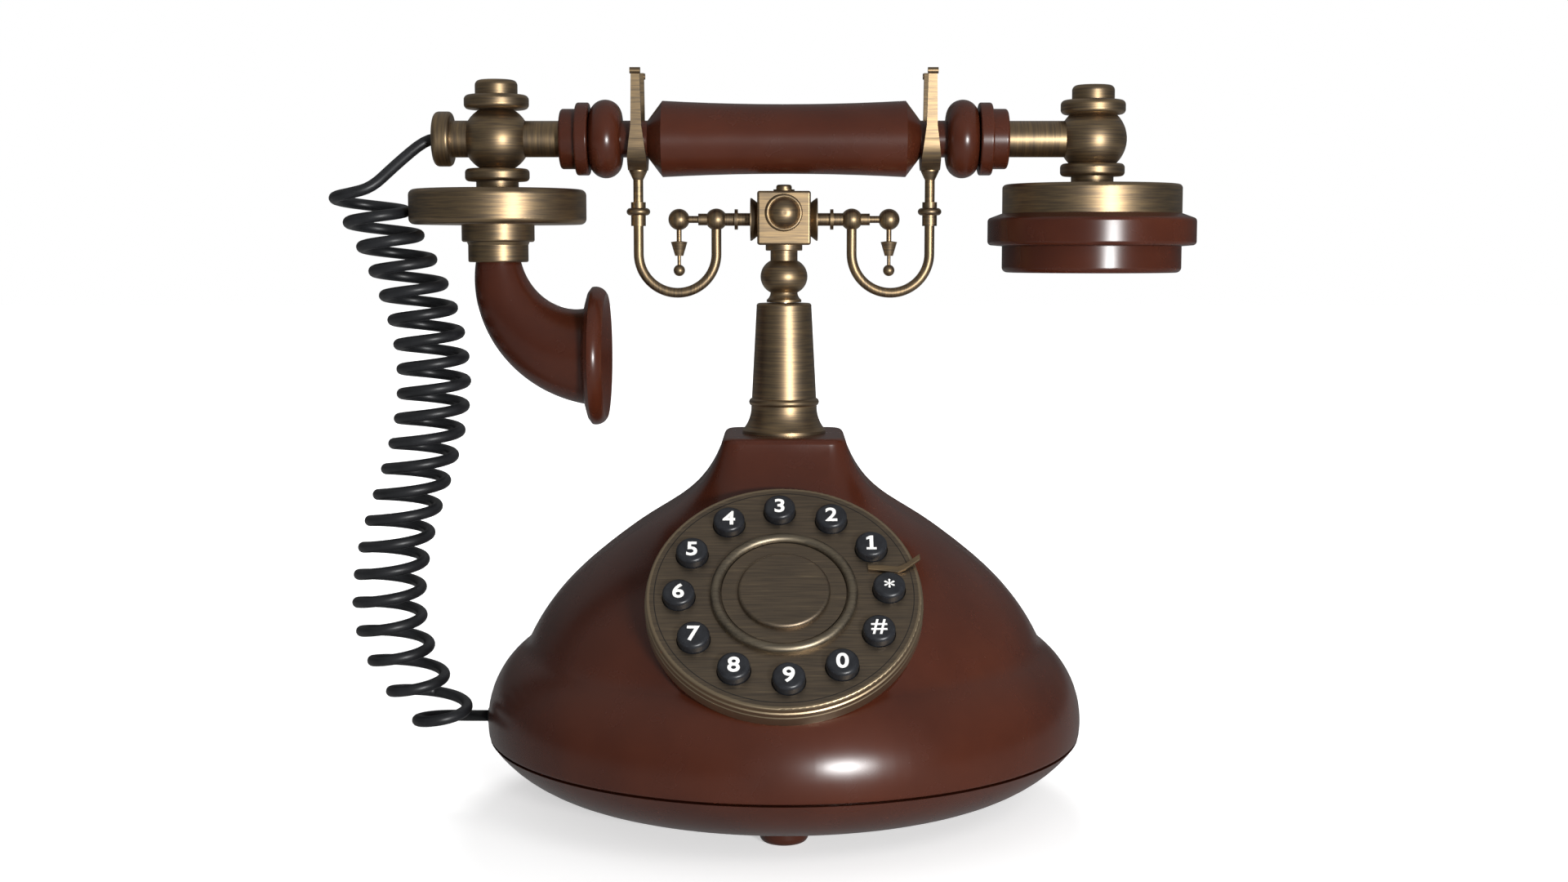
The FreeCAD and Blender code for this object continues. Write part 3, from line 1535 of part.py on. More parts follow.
os.makedirs("parts", exist_ok=True)
for label, item in pieces.items():
    item.Shape.exportStep(f"parts/{label}.step")
    print(f"{label}: {len(item.Shape.Solids)} solids, {item.Shape.Volume:.1f} mm3")
print(f"{len(pieces)} nodes")
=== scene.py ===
import math

import bmesh
import bpy
from mathutils import Matrix, Vector


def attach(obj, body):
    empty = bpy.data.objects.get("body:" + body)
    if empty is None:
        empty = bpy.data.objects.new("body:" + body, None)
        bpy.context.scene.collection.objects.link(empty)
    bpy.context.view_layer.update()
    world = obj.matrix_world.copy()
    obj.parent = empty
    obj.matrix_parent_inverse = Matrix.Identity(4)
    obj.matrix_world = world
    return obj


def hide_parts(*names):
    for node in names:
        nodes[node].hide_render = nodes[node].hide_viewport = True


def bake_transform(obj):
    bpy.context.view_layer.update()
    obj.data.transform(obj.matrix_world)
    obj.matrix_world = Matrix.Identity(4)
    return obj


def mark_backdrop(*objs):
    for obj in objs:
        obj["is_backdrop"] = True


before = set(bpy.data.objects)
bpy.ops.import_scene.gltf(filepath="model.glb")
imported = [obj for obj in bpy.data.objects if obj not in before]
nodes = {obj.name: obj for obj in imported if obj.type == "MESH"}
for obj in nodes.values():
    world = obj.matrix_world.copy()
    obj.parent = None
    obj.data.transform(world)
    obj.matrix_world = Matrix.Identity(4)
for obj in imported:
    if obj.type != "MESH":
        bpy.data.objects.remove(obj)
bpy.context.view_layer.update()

scene = bpy.context.scene
mm = 0.001
white = (1, 1, 1, 1)
print("frame loaded:", len(nodes), "nodes")


def hexColour(code):
    # sRGB hex to linear
    parts = [int(code[i:i + 2], 16) / 255 for i in (1, 3, 5)]
    return tuple(c / 12.92 if c <= 0.04045 else ((c + 0.055) / 1.055) ** 2.4 for c in parts) + (1.0,)


def addNode(tree, kind, settings=None, links=None):
    # one node, its settings by property or socket name, a ramp's stops, and what feeds its sockets
    node = tree.nodes.new(kind)
    for key, value in (settings or {}).items():
        if key == "stops":
            for i, (position, code) in enumerate(value):
                stop = node.color_ramp.elements[i] if i < 2 else node.color_ramp.elements.new(position)
                stop.position, stop.color = position, hexColour(code)
        elif isinstance(key, str) and hasattr(node, key):
            setattr(node, key, value)
        else:
            node.inputs[key].default_value = value
    for key, source in (links or {}).items():
        tree.links.new(source, node.inputs[key])
    return node


def newMaterial(name, uniform):
    # a material whose shader has these values all over, and the Object coordinates for its patterns
    material = bpy.data.materials.new(name)
    material.use_nodes = True
    tree = material.node_tree
    tree.nodes.clear()
    shader = addNode(tree, "ShaderNodeBsdfPrincipled", uniform)
    addNode(tree, "ShaderNodeOutputMaterial", None, {"Surface": shader.outputs[0]})
    place = addNode(tree, "ShaderNodeTexCoord").outputs["Object"]
    return material, tree, shader, place


def feedShader(tree, shader, sources):
    for socket, source in sources.items():
        tree.links.new(source, shader.inputs[socket])


def perMm(size):
    # pattern scale for features of that size in millimetres
    return 1 / (size * mm)


def meshObject(name, form):
    # the bmesh as an object at the origin
    mesh = bpy.data.meshes.new(name)
    form.to_mesh(mesh)
    form.free()
    piece = bpy.data.objects.new(name, mesh)
    scene.collection.objects.link(piece)
    return piece


def newVerts(made):
    # vertices among what an extrude made
    return [part for part in made["geom"] if isinstance(part, bmesh.types.BMVert)]


# camera at the photograph's place and lens
view = {"place": (0, -668.9, 187.0), "tiltDown": 5.545, "lens": 45.0, "sensor": 36.0, "nearest": 10.0}


def makeCamera():
    data = bpy.data.cameras.new("camera")
    data.lens = view["lens"]
    data.sensor_width = view["sensor"]
    data.clip_start = view["nearest"] * mm
    camera = bpy.data.objects.new("camera", data)
    camera.location = Vector(view["place"]) * mm
    camera.rotation_euler = (math.radians(90 - view["tiltDown"]), 0, 0)
    scene.collection.objects.link(camera)
    scene.camera = camera
    print("camera set")


# lamps: where each stands and what it points at in millimetres, its size and power
lamps = {
    "keyLamp": {"at": (310, -800, 150), "aim": (0, 0, 110), "size": (170, 95), "watts": 6.0, "inGloss": True},
    "highLamp": {"at": (430, -640, 580), "aim": (0, 0, 150), "size": (420, 320), "watts": 1.1, "inGloss": False},
    "backLamp": {"at": (60, 820, 600), "aim": (0, 0, 120), "size": (420, 320), "watts": 5.0, "inGloss": False},
}


def makeLamps():
    for name, lamp in lamps.items():
        data = bpy.data.lights.new(name, "AREA")
        data.shape = "ELLIPSE"
        data.size, data.size_y = lamp["size"][0] * mm, lamp["size"][1] * mm
        data.energy = lamp["watts"]
        light = bpy.data.objects.new(name, data)
        light.location = Vector(lamp["at"]) * mm
        toward = (Vector(lamp["aim"]) - Vector(lamp["at"])).normalized()
        light.rotation_euler = toward.to_track_quat("-Z", "Y").to_euler()
        light.visible_glossy = lamp["inGloss"]
        scene.collection.objects.link(light)
    print("lamps set:", len(lamps))


# sizes in metres; the floor glows most far off, so that its edge is lost in the backdrop and the shadow stays
studio = {"worldLight": 0.42, "floor": "#F2F2F2", "floorRough": 0.9, "floorSize": 6.0,
          "glowNear": 0.5, "glowFar": 1.0, "glowReach": (0.35, 1.3)}
# walls and ground cloth of a photographer's tent, seen in gloss only: how bright each is, and where it stands
tent = {"radius": 1.7, "ground": 0.18, "low": 0.06, "high": 0.32, "segments": 48, "rings": 24,
        "groundAt": 0.0005, "wallsFrom": 0.001, "groundBelow": 0.0008}


def backgroundRays(tree):
    # 1 where a ray shows the background: straight from the camera, or by way of gloss or glass
    path = addNode(tree, "ShaderNodeLightPath")
    seen = addNode(tree, "ShaderNodeMath", {"operation": "MAXIMUM"},
                   {0: path.outputs["Is Camera Ray"], 1: path.outputs["Is Glossy Ray"]})
    return addNode(tree, "ShaderNodeMath", {"operation": "MAXIMUM"},
                   {0: seen.outputs[0], 1: path.outputs["Is Transmission Ray"]}).outputs[0]


def stagePiece(name, form):
    piece = meshObject(name, form)
    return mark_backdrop(piece) or piece


def makeWorld():
    world = bpy.data.worlds.new("studioWorld")
    scene.world = world
    world.use_nodes = True
    tree = world.node_tree
    tree.nodes.clear()
    lit = addNode(tree, "ShaderNodeBackground", {"Color": white, "Strength": studio["worldLight"]})
    backdrop = addNode(tree, "ShaderNodeBackground", {"Color": white, "Strength": 1.0})
    mix = addNode(tree, "ShaderNodeMixShader", None,
                  {0: backgroundRays(tree), 1: lit.outputs[0], 2: backdrop.outputs[0]})
    addNode(tree, "ShaderNodeOutputWorld", None, {"Surface": mix.outputs[0]})


def makeFloor():
    form = bmesh.new()
    bmesh.ops.create_grid(form, x_segments=1, y_segments=1, size=studio["floorSize"])
    floor = stagePiece("floor", form)
    # coated paper, rolled: flat white without a shine
    material, tree, shader, place = newMaterial("whitePaperSweep", {
        "Base Color": hexColour(studio["floor"]), "Roughness": studio["floorRough"], "Emission Color": white})
    away = addNode(tree, "ShaderNodeVectorMath", {"operation": "LENGTH"}, {0: place})
    near, far = studio["glowReach"]
    spread = addNode(tree, "ShaderNodeMapRange", {
        "From Min": near, "From Max": far, "To Min": studio["glowNear"], "To Max": studio["glowFar"]},
        {"Value": away.outputs["Value"]})
    glow = addNode(tree, "ShaderNodeMath", {"operation": "MULTIPLY"},
                   {0: spread.outputs["Result"], 1: backgroundRays(tree)})
    feedShader(tree, shader, {"Emission Strength": glow.outputs[0]})
    floor.data.materials.append(material)


def makeTent():
    form = bmesh.new()
    bmesh.ops.create_uvsphere(form, u_segments=tent["segments"], v_segments=tent["rings"], radius=tent["radius"])
    bmesh.ops.bisect_plane(form, geom=form.verts[:] + form.edges[:] + form.faces[:],
                           plane_co=(0, 0, tent["wallsFrom"]), plane_no=(0, 0, 1), clear_inner=True)
    bmesh.ops.create_circle(form, cap_ends=True, segments=tent["segments"], radius=tent["radius"],
                            matrix=Matrix.Translation((0, 0, tent["groundAt"])))
    cloth = stagePiece("tent", form)
    # woven cloth with light behind it: an even grey that grows paler upwards
    material, tree, shader, place = newMaterial("greyTentCloth", {
        "Base Color": (0, 0, 0, 1), "Specular IOR Level": 0.0, "Emission Color": white})
    height = addNode(tree, "ShaderNodeSeparateXYZ", None, {0: place}).outputs["Z"]
    walls = addNode(tree, "ShaderNodeMapRange", {
        "From Max": tent["radius"], "To Min": tent["low"], "To Max": tent["high"]}, {"Value": height})
    onGround = addNode(tree, "ShaderNodeMath", {"operation": "LESS_THAN", 1: tent["groundBelow"]}, {0: height})
    glow = addNode(tree, "ShaderNodeMath", {"operation": "MULTIPLY_ADD", 1: tent["ground"]},
                   {0: onGround.outputs[0], 2: walls.outputs["Result"]})
    feedShader(tree, shader, {"Emission Strength": glow.outputs[0]})
    cloth.data.materials.append(material)
    cloth.visible_camera = cloth.visible_diffuse = cloth.visible_shadow = cloth.visible_transmission = False
    print("studio set")


# the dial's face centre in millimetres, how far it leans back, and its keys: their circle, turn, height and order
dial = {"centre": (0, -69.0, 81.2), "elevation": 47.0, "keyCircle": 32.6, "keyTurn": 2.5, "keyHeight": 3.5,
        "order": ["3", "2", "1", "star", "hash", "0", "9", "8", "7", "6", "5", "4"]}

# lacquer: sizes of its cloudiness, polish haze and orange peel in millimetres, and how far the peel shows
lacquer = {"tones": ((0.35, "#3D1A0E"), (0.68, "#482113")), "cloud": 38, "haze": 12, "peel": 1.6,
           "rough": (0.22, 0.31), "peelShare": 0.01, "peelDepth": 0.1, "ior": 1.5}


def lacquerMaterial(name):
    # lacquer sprayed over moulded plastic and polished: deep reddish brown under a clear gloss,
    # whose highlights have soft edges and break up slightly in haze and orange peel
    material, tree, shader, place = newMaterial(name, {"IOR": lacquer["ior"]})
    cloud = addNode(tree, "ShaderNodeTexNoise", {"Scale": perMm(lacquer["cloud"]), "Detail": 3.0}, {"Vector": place})
    tone = addNode(tree, "ShaderNodeValToRGB", {"stops": lacquer["tones"]}, {"Fac": cloud.outputs["Fac"]})
    haze = addNode(tree, "ShaderNodeTexNoise", {"Scale": perMm(lacquer["haze"]), "Detail": 5.0}, {"Vector": place})
    low, high = lacquer["rough"]
    rough = addNode(tree, "ShaderNodeMapRange", {"To Min": low, "To Max": high}, {"Value": haze.outputs["Fac"]})
    peel = addNode(tree, "ShaderNodeTexNoise", {"Scale": perMm(lacquer["peel"]), "Detail": 1.0}, {"Vector": place})
    bump = addNode(tree, "ShaderNodeBump", {"Strength": lacquer["peelShare"], "Distance": lacquer["peelDepth"] * mm},
                   {"Height": peel.outputs["Fac"]})
    feedShader(tree, shader, {"Base Color": tone.outputs["Color"], "Roughness": rough.outputs["Result"],
                              "Normal": bump.outputs["Normal"]})
    return material


# antiqued brass: sizes of its patches and brush lines in millimetres, its varnish, and the paler gold painted on the
# dial's rim as sheen;
# real brush lines are about 0.1 mm apart, and are drawn coarser here so that they show
brass = {"patch": 14, "lines": 0.55, "patchShare": 0.35, "darkAt": 0.5, "brightAt": 0.86, "lineShare": 0.12,
         "lineDepth": 0.08, "varnishRough": 0.5, "rimFrom": 41.6, "rimTo": 42.2, "rimSheenColour": "#A69273"}
# stretch is 1 across the brush lines and small along them
brassFinishes = {
    # brushed across and darkened: brown-grey face with fine level lines, and a paler gold painted on its rim as sheen
    "brassBrushedAcross": {"stretch": (0.04, 1.0, 1.0), "tones": ("#695B4A", "#85735B"), "rough": (0.38, 0.48),
                           "hasRimSheen": True},
    # the same in paler tones all over, painted as the sheen of a raised ring that catches more light than the face
    "brassBrushedPaintedSheen": {"stretch": (0.04, 1.0, 1.0), "tones": ("#776C5B", "#96886F"), "rough": (0.38, 0.48)},
    # turned on an upright axis and darkened: warm dull gold, with rings round the piece and a broad soft streak
    "brassTurnedUpright": {"stretch": (0.05, 0.05, 1.0), "tones": ("#7C6950", "#A58A62"), "rough": (0.37, 0.46)},
    # turned on a level axis: the same gold, with its rings upright
    "brassTurnedAlong": {"stretch": (1.0, 0.05, 0.05), "tones": ("#7C6950", "#A58A62"), "rough": (0.37, 0.46)},
}


def rimSheenShare(tree, place):
    # 1 on the dial's rim, where the paler gold is painted as sheen, 0 on its face
    onDial = addNode(tree, "ShaderNodeMapping", {
        "vector_type": "TEXTURE", "Location": Vector(dial["centre"]) * mm,
        "Rotation": (math.radians(90 - dial["elevation"]), 0, 0)}, {"Vector": place})
    flat = addNode(tree, "ShaderNodeVectorMath", {"operation": "MULTIPLY", 1: (1, 1, 0)}, {0: onDial.outputs[0]})
    radius = addNode(tree, "ShaderNodeVectorMath", {"operation": "LENGTH"}, {0: flat.outputs[0]})
    return addNode(tree, "ShaderNodeMapRange", {"From Min": brass["rimFrom"] * mm, "From Max": brass["rimTo"] * mm},
                   {"Value": radius.outputs["Value"]}).outputs["Result"]


def brassMaterial(name, stretch, tones, rough, hasRimSheen=False):
    # the varnish over the metal lifts its dark sides to a soft grey
    material, tree, shader, place = newMaterial(name, {
        "Metallic": 1.0, "Coat Weight": 1.0, "Coat Roughness": brass["varnishRough"]})
    patch = addNode(tree, "ShaderNodeTexNoise", {"Scale": perMm(brass["patch"]), "Detail": 6.0, "Roughness": 0.6},
                    {"Vector": place})
    combed = addNode(tree, "ShaderNodeMapping", {"Scale": stretch}, {"Vector": place})
    lines = addNode(tree, "ShaderNodeTexNoise", {"Scale": perMm(brass["lines"]), "Detail": 2.0},
                    {"Vector": combed.outputs[0]})
    both = addNode(tree, "ShaderNodeMath", {"operation": "MULTIPLY_ADD", 1: brass["patchShare"]},
                   {0: patch.outputs["Fac"], 2: lines.outputs["Fac"]})
    stops = [(brass["darkAt"], tones[0]), (brass["brightAt"], tones[1])]
    # painted sheen: the ramp's last stop, reached only on the rim, is a paler gold
    if hasRimSheen:
        both = addNode(tree, "ShaderNodeMath", {"operation": "ADD"}, {0: both.outputs[0], 1: rimSheenShare(tree, place)})
        stops.append((1.0, brass["rimSheenColour"]))
    tone = addNode(tree, "ShaderNodeValToRGB", {"stops": stops}, {"Fac": both.outputs[0]})
    low, high = rough
    polish = addNode(tree, "ShaderNodeMapRange", {"To Min": low, "To Max": high}, {"Value": lines.outputs["Fac"]})
    bump = addNode(tree, "ShaderNodeBump", {"Strength": brass["lineShare"], "Distance": brass["lineDepth"] * mm},
                   {"Height": lines.outputs["Fac"]})
    feedShader(tree, shader, {"Base Color": tone.outputs["Color"], "Roughness": polish.outputs["Result"],
                              "Normal": bump.outputs["Normal"]})
    return material


# moulded, plated, printed and other plain finishes: tones, sizes of cloud and grain in millimetres;
# real mould grain is about 0.1 mm, and is drawn coarser so that it shows
plainFinishes = {
    # ABS from a satin mould: near black, with a soft sheen on the rounded edges
    "blackSatinKeycap": {"tones": ("#1B1C20", "#25272B"), "cloud": 3.0, "rough": (0.3, 0.4), "grainShare": 0.03},
    # zinc plated on steel: pale grey metal with cloudy highlights
    "zincPlatedSteel": {"tones": ("#8C8E90", "#B9BBBC"), "cloud": 4.0, "rough": (0.25, 0.4), "metallic": 1.0},
    # solder varnish flowed on glass board: deep green, half gloss
    "greenBoardVarnish": {"tones": ("#123B1E", "#1D5A2E"), "cloud": 6.0, "rough": (0.3, 0.45)},
    # ABS from a plain mould: black and dull
    "blackMouldedAbs": {"tones": ("#151515", "#222222"), "cloud": 5.0, "rough": (0.4, 0.55)},
    # rubber pressed in a mould: black, with hardly a shine
    "blackRubber": {"tones": ("#121212", "#1C1C1C"), "cloud": 4.0, "rough": (0.6, 0.8)},
    # vinyl extruded over the wires: near black, with a narrow pale streak along each curl
    "blackVinylSheath": {"tones": ("#17181A", "#222326"), "cloud": 9.0, "rough": (0.36, 0.46), "grain": 0.8,
                         "grainShare": 0.03},
    # ink pressed on by a pad: flat white
    "whitePadPrint": {"tones": ("#F1F0EC", "#FBFAF7"), "cloud": 2.0, "rough": (0.45, 0.6)},
    # wax wiped into a cut line: a fine black ring
    "darkWaxInScribe": {"tones": ("#17130E", "#221C15"), "cloud": 2.0, "rough": (0.5, 0.7)},
}
plainDepth = {"darkAt": 0.35, "lightAt": 0.7, "grainDepth": 0.05}


def plainMaterial(name, tones, cloud, rough, metallic=0.0, grain=0.4, grainShare=0.1):
    material, tree, shader, place = newMaterial(name, {"Metallic": metallic})
    clouds = addNode(tree, "ShaderNodeTexNoise", {"Scale": perMm(cloud), "Detail": 4.0}, {"Vector": place})
    stops = [(plainDepth["darkAt"], tones[0]), (plainDepth["lightAt"], tones[1])]
    tone = addNode(tree, "ShaderNodeValToRGB", {"stops": stops}, {"Fac": clouds.outputs["Fac"]})
    low, high = rough
    polish = addNode(tree, "ShaderNodeMapRange", {"To Min": low, "To Max": high}, {"Value": clouds.outputs["Fac"]})
    grains = addNode(tree, "ShaderNodeTexNoise", {"Scale": perMm(grain), "Detail": 2.0}, {"Vector": place})
    bump = addNode(tree, "ShaderNodeBump", {"Strength": grainShare, "Distance": plainDepth["grainDepth"] * mm},
                   {"Height": grains.outputs["Fac"]})
    feedShader(tree, shader, {"Base Color": tone.outputs["Color"], "Roughness": polish.outputs["Result"],
                              "Normal": bump.outputs["Normal"]})
    return material


def makeFinishes():
    made = {"sprayedBrownLacquer": lacquerMaterial("sprayedBrownLacquer")}
    for name, settings in brassFinishes.items():
        made[name] = brassMaterial(name, **settings)
    for name, settings in plainFinishes.items():
        made[name] = plainMaterial(name, **settings)
    print("finishes mixed:", len(made))
    return made


# which CAD nodes wear each finish
wornBy = {
    "sprayedBrownLacquer": ["base_shell", "base_dish", "feet", "grip", "end_rings", "horn", "receiver_cap"],
    "brassBrushedAcross": ["dial_plate", "dial_centre_disc"],
    # painted sheen: the centre ring wears paler tones than the dial's face
    "brassBrushedPaintedSheen": ["dial_centre_ring", "finger_stop"],
    "brassTurnedUpright": [
        "column", "guide_bush", "baluster", "cradle_block", "rosettes", "top_finial", "drops", "fork_stems", "forks",
        "ball_joints", "top_caps", "lower_collars", "transmitter_disc", "transmitter_collar", "receiver_cup"],
    "brassTurnedAlong": ["cradle_arms", "hook_tubes", "arm_tubes", "cord_flange"],
    "blackSatinKeycap": [name for name in nodes if name.startswith("key_")],
    "zincPlatedSteel": [
        "base_screws", "plunger_rod", "hook_spring", "column_nut", "switch_bracket", "ballast_plate"],
    "greenBoardVarnish": ["main_board", "keypad_board"],
    "blackMouldedAbs": ["ringer", "line_jack", "hook_switch", "microphone", "speaker"],
    "blackRubber": ["keypad_mat", "cord_grommet"],
}


def finishNodes():
    for finish, names in wornBy.items():
        for name in names:
            mesh = nodes[name].data
            mesh.materials.clear()
            mesh.materials.append(finishes[finish])
    print("finishes given to", sum(len(names) for names in wornBy.values()), "nodes")


# curly cord in millimetres: the curls' height, pitch and sway, which are given by turn, and the lead's bends
cord = {
    "radius": 1.9, "coil": 10.6, "exit": (-118.1, 0, 224.53), "entry": (-102.6, 0, 26.2),
    "lead": [(-121.0, 0, 224.5), (-130.8, -5.5, 215.2), (-137.6, -9.9, 207.9)],
    "firstTurn": -0.25, "lastTurn": 20.25, "perTurn": 12, "top": 204.3, "pitch": 8.174, "stretch": 8.97e-5,
    "lift": 2.5, "liftFrom": 19.5, "swingRight": -118.9, "rightAt": 7.5, "swingLeft": -134.6, "leftAt": 16.0,
    "topSwing": 22.4, "endMiddle": -114.2, "endAt": 20.0, "splitTurn": 19.25, "sides": 16, "steps": 4,
}


def curlMiddle(turn):
    right, left = cord["swingRight"], cord["swingLeft"]
    rightAt, leftAt = cord["rightAt"], cord["leftAt"]
    if turn < rightAt:
        return right - cord["topSwing"] * (1 - math.sin(math.pi / 2 * turn / rightAt))
    if turn < leftAt:
        return right + (left - right) * (1 - math.cos(math.pi * (turn - rightAt) / (leftAt - rightAt))) / 2
    return left + (cord["endMiddle"] - left) * ((turn - leftAt) / (cord["endAt"] - leftAt)) ** 2


def curlPoint(turn, widen=1.0):
    lift = max(0, turn - cord["liftFrom"]) / (cord["lastTurn"] - cord["liftFrom"])
    height = cord["top"] - cord["pitch"] * turn - cord["stretch"] * turn ** 4 + cord["lift"] * lift ** 2
    angle = math.pi - 2 * math.pi * turn
    reach = cord["coil"] * widen
    back = -cord["coil"] * turn / cord["lastTurn"]
    return Vector((curlMiddle(turn) + reach * math.cos(angle), back + reach * math.sin(angle), height))


def cordLine():
    # one open spline through the leads and the curls; its points stand a little wide of the curls it makes
    widen = 1 / math.cos(math.pi / cord["perTurn"])
    count = int((cord["lastTurn"] - cord["firstTurn"]) * cord["perTurn"])
    points = [Vector(cord["exit"])] + [Vector(point) for point in cord["lead"]]
    points += [curlPoint(cord["firstTurn"] + (i + 0.5) / cord["perTurn"], widen) for i in range(count)]
    points += [curlPoint(cord["lastTurn"]), Vector(cord["entry"])]
    data = bpy.data.curves.new("cordRoute", "CURVE")
    data.dimensions = "3D"
    spline = data.splines.new("NURBS")
    spline.points.add(len(points) - 1)
    for target, point in zip(spline.points, points):
        target.co = (*(point * mm), 1)
    spline.order_u = 3
    spline.use_endpoint_u = True
    spline.resolution_u = data.resolution_u = cord["steps"]
    curve = bpy.data.objects.new("cordRoute", data)
    scene.collection.objects.link(curve)
    bpy.context.view_layer.update()
    mesh = bpy.data.meshes.new_from_object(curve.evaluated_get(bpy.context.evaluated_depsgraph_get()))
    bpy.data.objects.remove(curve)
    return [vertex.co.copy() for vertex in mesh.vertices]


def tubeAlong(name, run, radius):
    # ring of vertices carried along the line and skinned ring to ring
    form = bmesh.new()
    sides = cord["sides"]
    rings = []
    side = (run[1] - run[0]).normalized().orthogonal().normalized()
    for i, point in enumerate(run):
        before, after = run[max(i - 1, 0)], run[min(i + 1, len(run) - 1)]
        tangent = (after - before).normalized()
        side = (side - tangent * side.dot(tangent)).normalized()
        up = tangent.cross(side)
        ring = []
        for k in range(sides):
            angle = 2 * math.pi * k / sides
            ring.append(form.verts.new(point + (side * math.cos(angle) + up * math.sin(angle)) * radius))
        rings.append([form.edges.new((ring[k], ring[(k + 1) % sides])) for k in range(sides)])
    for one, two in zip(rings, rings[1:]):
        bmesh.ops.bridge_loops(form, edges=one + two)
    for ring in (rings[0], rings[-1]):
        bmesh.ops.edgeloop_fill(form, edges=ring)
    bmesh.ops.recalc_face_normals(form, faces=form.faces)
    for face in form.faces:
        face.smooth = True
    return meshObject(name, form)


def makeCord():
    # split low down into an upper and a lower piece, each in place of the CAD cord nodes it hides
    line = cordLine()
    split = curlPoint(cord["splitTurn"]) * mm
    cutAt = min(range(len(line)), key=lambda i: (line[i] - split).length)
    runs = {"cordUpper": line[:cutAt + 1], "cordLower": line[cutAt:]}
    for name, run in runs.items():
        piece = tubeAlong(name, run, cord["radius"] * mm)
        piece.data.materials.append(finishes["blackVinylSheath"])
        if name == "cordUpper":
            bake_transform(piece)
            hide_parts("cord_upper_lead", "cord_curls")
        else:
            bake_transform(piece)
            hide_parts("cord_lower_lead")


# shell's surface in millimetres: how near its doubled corners are, the angle past which an edge stays crisp,
# and the rounding of its lower lip, which lies below and outside these limits
shell = {"merge": 0.03, "crispAngle": 35.0, "lip": 0.8, "lipSegments": 3, "lipBelow": 24.0, "lipOutside": 100.5}


def makeShell():
    # the moulded shell with its doubled corners welded, so that the lacquer runs over its joins unbroken
    form = bmesh.new()
    form.from_mesh(nodes["base_shell"].data)
    bmesh.ops.remove_doubles(form, verts=form.verts, dist=shell["merge"] * mm)
    bmesh.ops.dissolve_degenerate(form, edges=form.edges, dist=shell["merge"] * mm)
    crisp = math.radians(shell["crispAngle"])
    lip = [edge for edge in form.edges if edge.calc_face_angle(0) > crisp and all(
        v.co.z < shell["lipBelow"] * mm and v.co.xy.length > shell["lipOutside"] * mm for v in edge.verts)]
    bmesh.ops.bevel(form, geom=lip, offset=shell["lip"] * mm, affect="EDGES", segments=shell["lipSegments"],
                    profile=0.5, material=-1, clamp_overlap=True)
    bmesh.ops.recalc_face_normals(form, faces=form.faces)
    for edge in form.edges:
        edge.smooth = edge.calc_face_angle(0) < crisp
    for face in form.faces:
        face.smooth = True
    piece = meshObject("baseShell", form)
    piece.data.materials.append(finishes["sprayedBrownLacquer"])
    even = piece.modifiers.new("evenNormals", "WEIGHTED_NORMAL")
    even.mode = "CORNER_ANGLE"
    even.keep_sharp = True
    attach(piece, "base")
    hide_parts("base_shell")
    print("shell welded:", len(piece.data.polygons), "faces,", len(lip), "lip edges rounded")


def dialFrame():
    turn = Matrix.Rotation(math.radians(90 - dial["elevation"]), 4, "X")
    return Matrix.Translation(Vector(dial["centre"]) * mm) @ turn


def dialPiece(name, form, finish, body):
    bmesh.ops.recalc_face_normals(form, faces=form.faces)
    piece = meshObject(name, form)
    piece.data.materials.append(finishes[finish])
    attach(piece, body)
    return piece


# figures on the keys: their height and thickness of ink in millimetres, the star's share of that height,
# and how much bolder than the plain letter they are
digits = {"height": 5.5, "wide": 1.06, "star": 0.62, "thick": 0.06, "bold": 0.022, "signBold": 0.008,
          "curveSteps": 6, "raise": 0.02, "merge": 1e-5}
# figure 1 in shares of its height: half of its stem and foot, its tip, and its foot and flag
figureOne = {"stem": 0.1, "foot": 0.27, "tip": 0.06, "footThick": 0.15, "flagTop": 0.86, "flagLow": 0.7,
             "flagIn": 0.77}


def figureForm(sign):
    # flat figure, then raised to a thin layer of ink
    form = bmesh.new()
    if sign == "1":
        stem, foot, thick = figureOne["stem"], figureOne["foot"], figureOne["footThick"]
        outline = [(-foot, 0), (foot, 0), (foot, thick), (stem, thick), (stem, 1), (-figureOne["tip"], 1),
                   (-foot, figureOne["flagTop"]), (-foot, figureOne["flagLow"]), (-stem, figureOne["flagIn"]),
                   (-stem, thick), (-foot, thick)]
        face = form.faces.new([form.verts.new((x, y, 0)) for x, y in outline])
        raised = bmesh.ops.extrude_face_region(form, geom=[face])
        bmesh.ops.translate(form, verts=newVerts(raised), vec=(0, 0, digits["raise"]))
        return form
    data = bpy.data.curves.new("figure", "FONT")
    data.body = sign
    data.offset = digits["bold"] if sign.isdigit() else digits["signBold"]
    data.extrude = digits["raise"] / 2
    data.resolution_u = digits["curveSteps"]
    text = bpy.data.objects.new("figure", data)
    scene.collection.objects.link(text)
    bpy.context.view_layer.update()
    mesh = bpy.data.meshes.new_from_object(text.evaluated_get(bpy.context.evaluated_depsgraph_get()))
    bpy.data.objects.remove(text)
    form.from_mesh(mesh)
    bmesh.ops.remove_doubles(form, verts=form.verts, dist=digits["merge"])
    return form


def makeDigits():
    step = 360 / len(dial["order"])
    for i, name in enumerate(dial["order"]):
        angle = math.radians(90 + dial["keyTurn"] - step * i)
        form = figureForm({"star": "*", "hash": "#"}.get(name, name))
        low = Vector([min(v.co[k] for v in form.verts) for k in range(3)])
        high = Vector([max(v.co[k] for v in form.verts) for k in range(3)])
        tall = digits["height"] * (digits["star"] if name == "star" else 1.0) * mm / (high.y - low.y)
        spot = Vector((math.cos(angle), math.sin(angle), 0)) * dial["keyCircle"] * mm
        spot.z = (dial["keyHeight"] + digits["thick"] / 2) * mm
        fit = Matrix.Diagonal((tall * digits["wide"], tall, digits["thick"] * mm / (high.z - low.z), 1))
        form.transform(dialFrame() @ Matrix.Translation(spot) @ fit @ Matrix.Translation(-(low + high) / 2))
        dialPiece("digit_" + name, form, "whitePadPrint", f"key_{name}_body")
    print("digits printed on the keys")


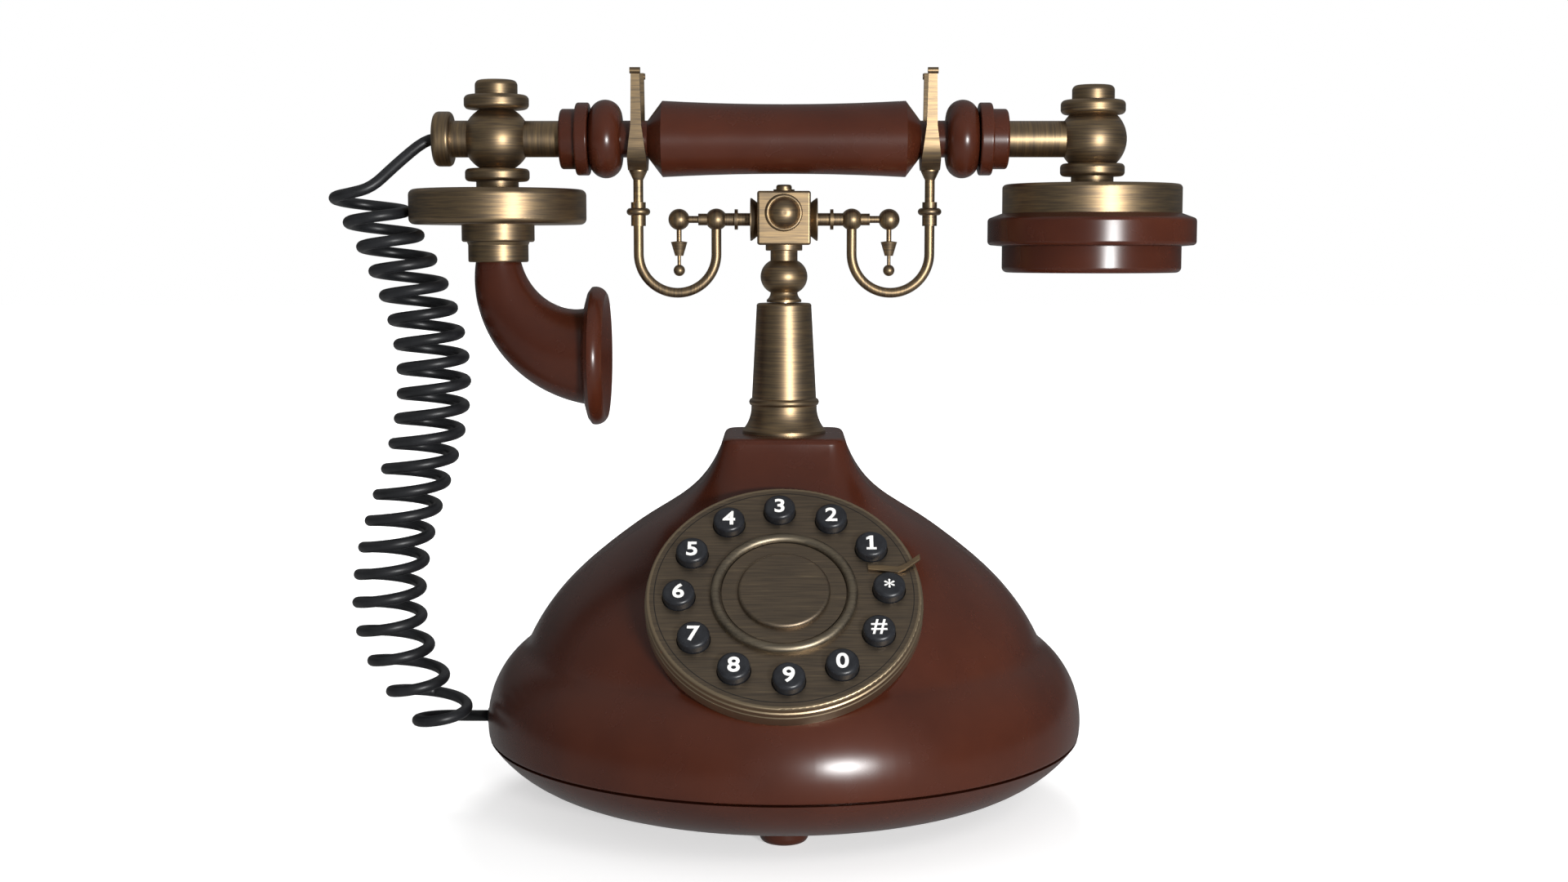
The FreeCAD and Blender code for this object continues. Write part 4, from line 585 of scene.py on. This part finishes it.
# finger stop's bends across the dial's face and out from it, its width, thickness and soft edge, in millimetres
fingerStop = {"path": [(26.2, 10.1, 0.02), (31.0, 9.5, 0.02), (35.6, 8.9, 0.02), (38.0, 9.8, 0.5), (42.6, 12.9, 1.5)],
              "width": 2.3, "thick": 0.9, "soft": 0.22, "softSegments": 2, "sharpAngle": 0.8}


def makeFingerStop():
    form = bmesh.new()
    path = [Vector(point) * mm for point in fingerStop["path"]]
    half = Vector((0, fingerStop["width"] / 2, 0)) * mm
    edge = form.edges.new([form.verts.new(path[0] - half), form.verts.new(path[0] + half)])
    for before, after in zip(path, path[1:]):
        made = bmesh.ops.extrude_edge_only(form, edges=[edge])
        bmesh.ops.translate(form, verts=newVerts(made), vec=after - before)
        edge = [part for part in made["geom"] if isinstance(part, bmesh.types.BMEdge)][0]
    raised = bmesh.ops.extrude_face_region(form, geom=form.faces[:])
    bmesh.ops.translate(form, verts=newVerts(raised), vec=(0, 0, fingerStop["thick"] * mm))
    bmesh.ops.recalc_face_normals(form, faces=form.faces)
    sharp = [e for e in form.edges if e.calc_face_angle(0) > fingerStop["sharpAngle"]]
    bmesh.ops.bevel(form, geom=sharp, offset=fingerStop["soft"] * mm, affect="EDGES",
                    segments=fingerStop["softSegments"], profile=0.5, material=-1, clamp_overlap=True)
    form.transform(dialFrame())
    stop = dialPiece("fingerStop", form, "brassTurnedUpright", "base")
    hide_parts("finger_stop")
    print("finger stop bent")


# line scribed in the dial: radius and width, and how far its wax goes in and stands out, in millimetres
rimLine = {"radius": 40.3, "width": 0.3, "sunk": 0.1, "proud": 0.02, "steps": 128, "merge": 1e-4}


def makeRimLine():
    form = bmesh.new()
    half = rimLine["width"] / 2
    low, high = (rimLine["radius"] - half) * mm, (rimLine["radius"] + half) * mm
    under, over = -rimLine["sunk"] * mm, rimLine["proud"] * mm
    corners = [form.verts.new(c) for c in ((low, 0, under), (high, 0, under), (high, 0, over), (low, 0, over))]
    loop = [form.edges.new((corners[k], corners[(k + 1) % 4])) for k in range(4)]
    bmesh.ops.spin(form, geom=corners + loop, cent=(0, 0, 0), axis=(0, 0, 1), angle=2 * math.pi,
                   steps=rimLine["steps"], use_merge=True)
    bmesh.ops.remove_doubles(form, verts=form.verts, dist=rimLine["merge"] * mm)
    form.transform(dialFrame())
    dialPiece("rimLine", form, "darkWaxInScribe", "base")
    print("dial scribed")


makeCamera()
makeLamps()
makeWorld()
makeFloor()
makeTent()
finishes = makeFinishes()
finishNodes()
makeCord()
makeShell()
makeDigits()
makeFingerStop()
makeRimLine()
scene.view_settings.view_transform = "Standard"
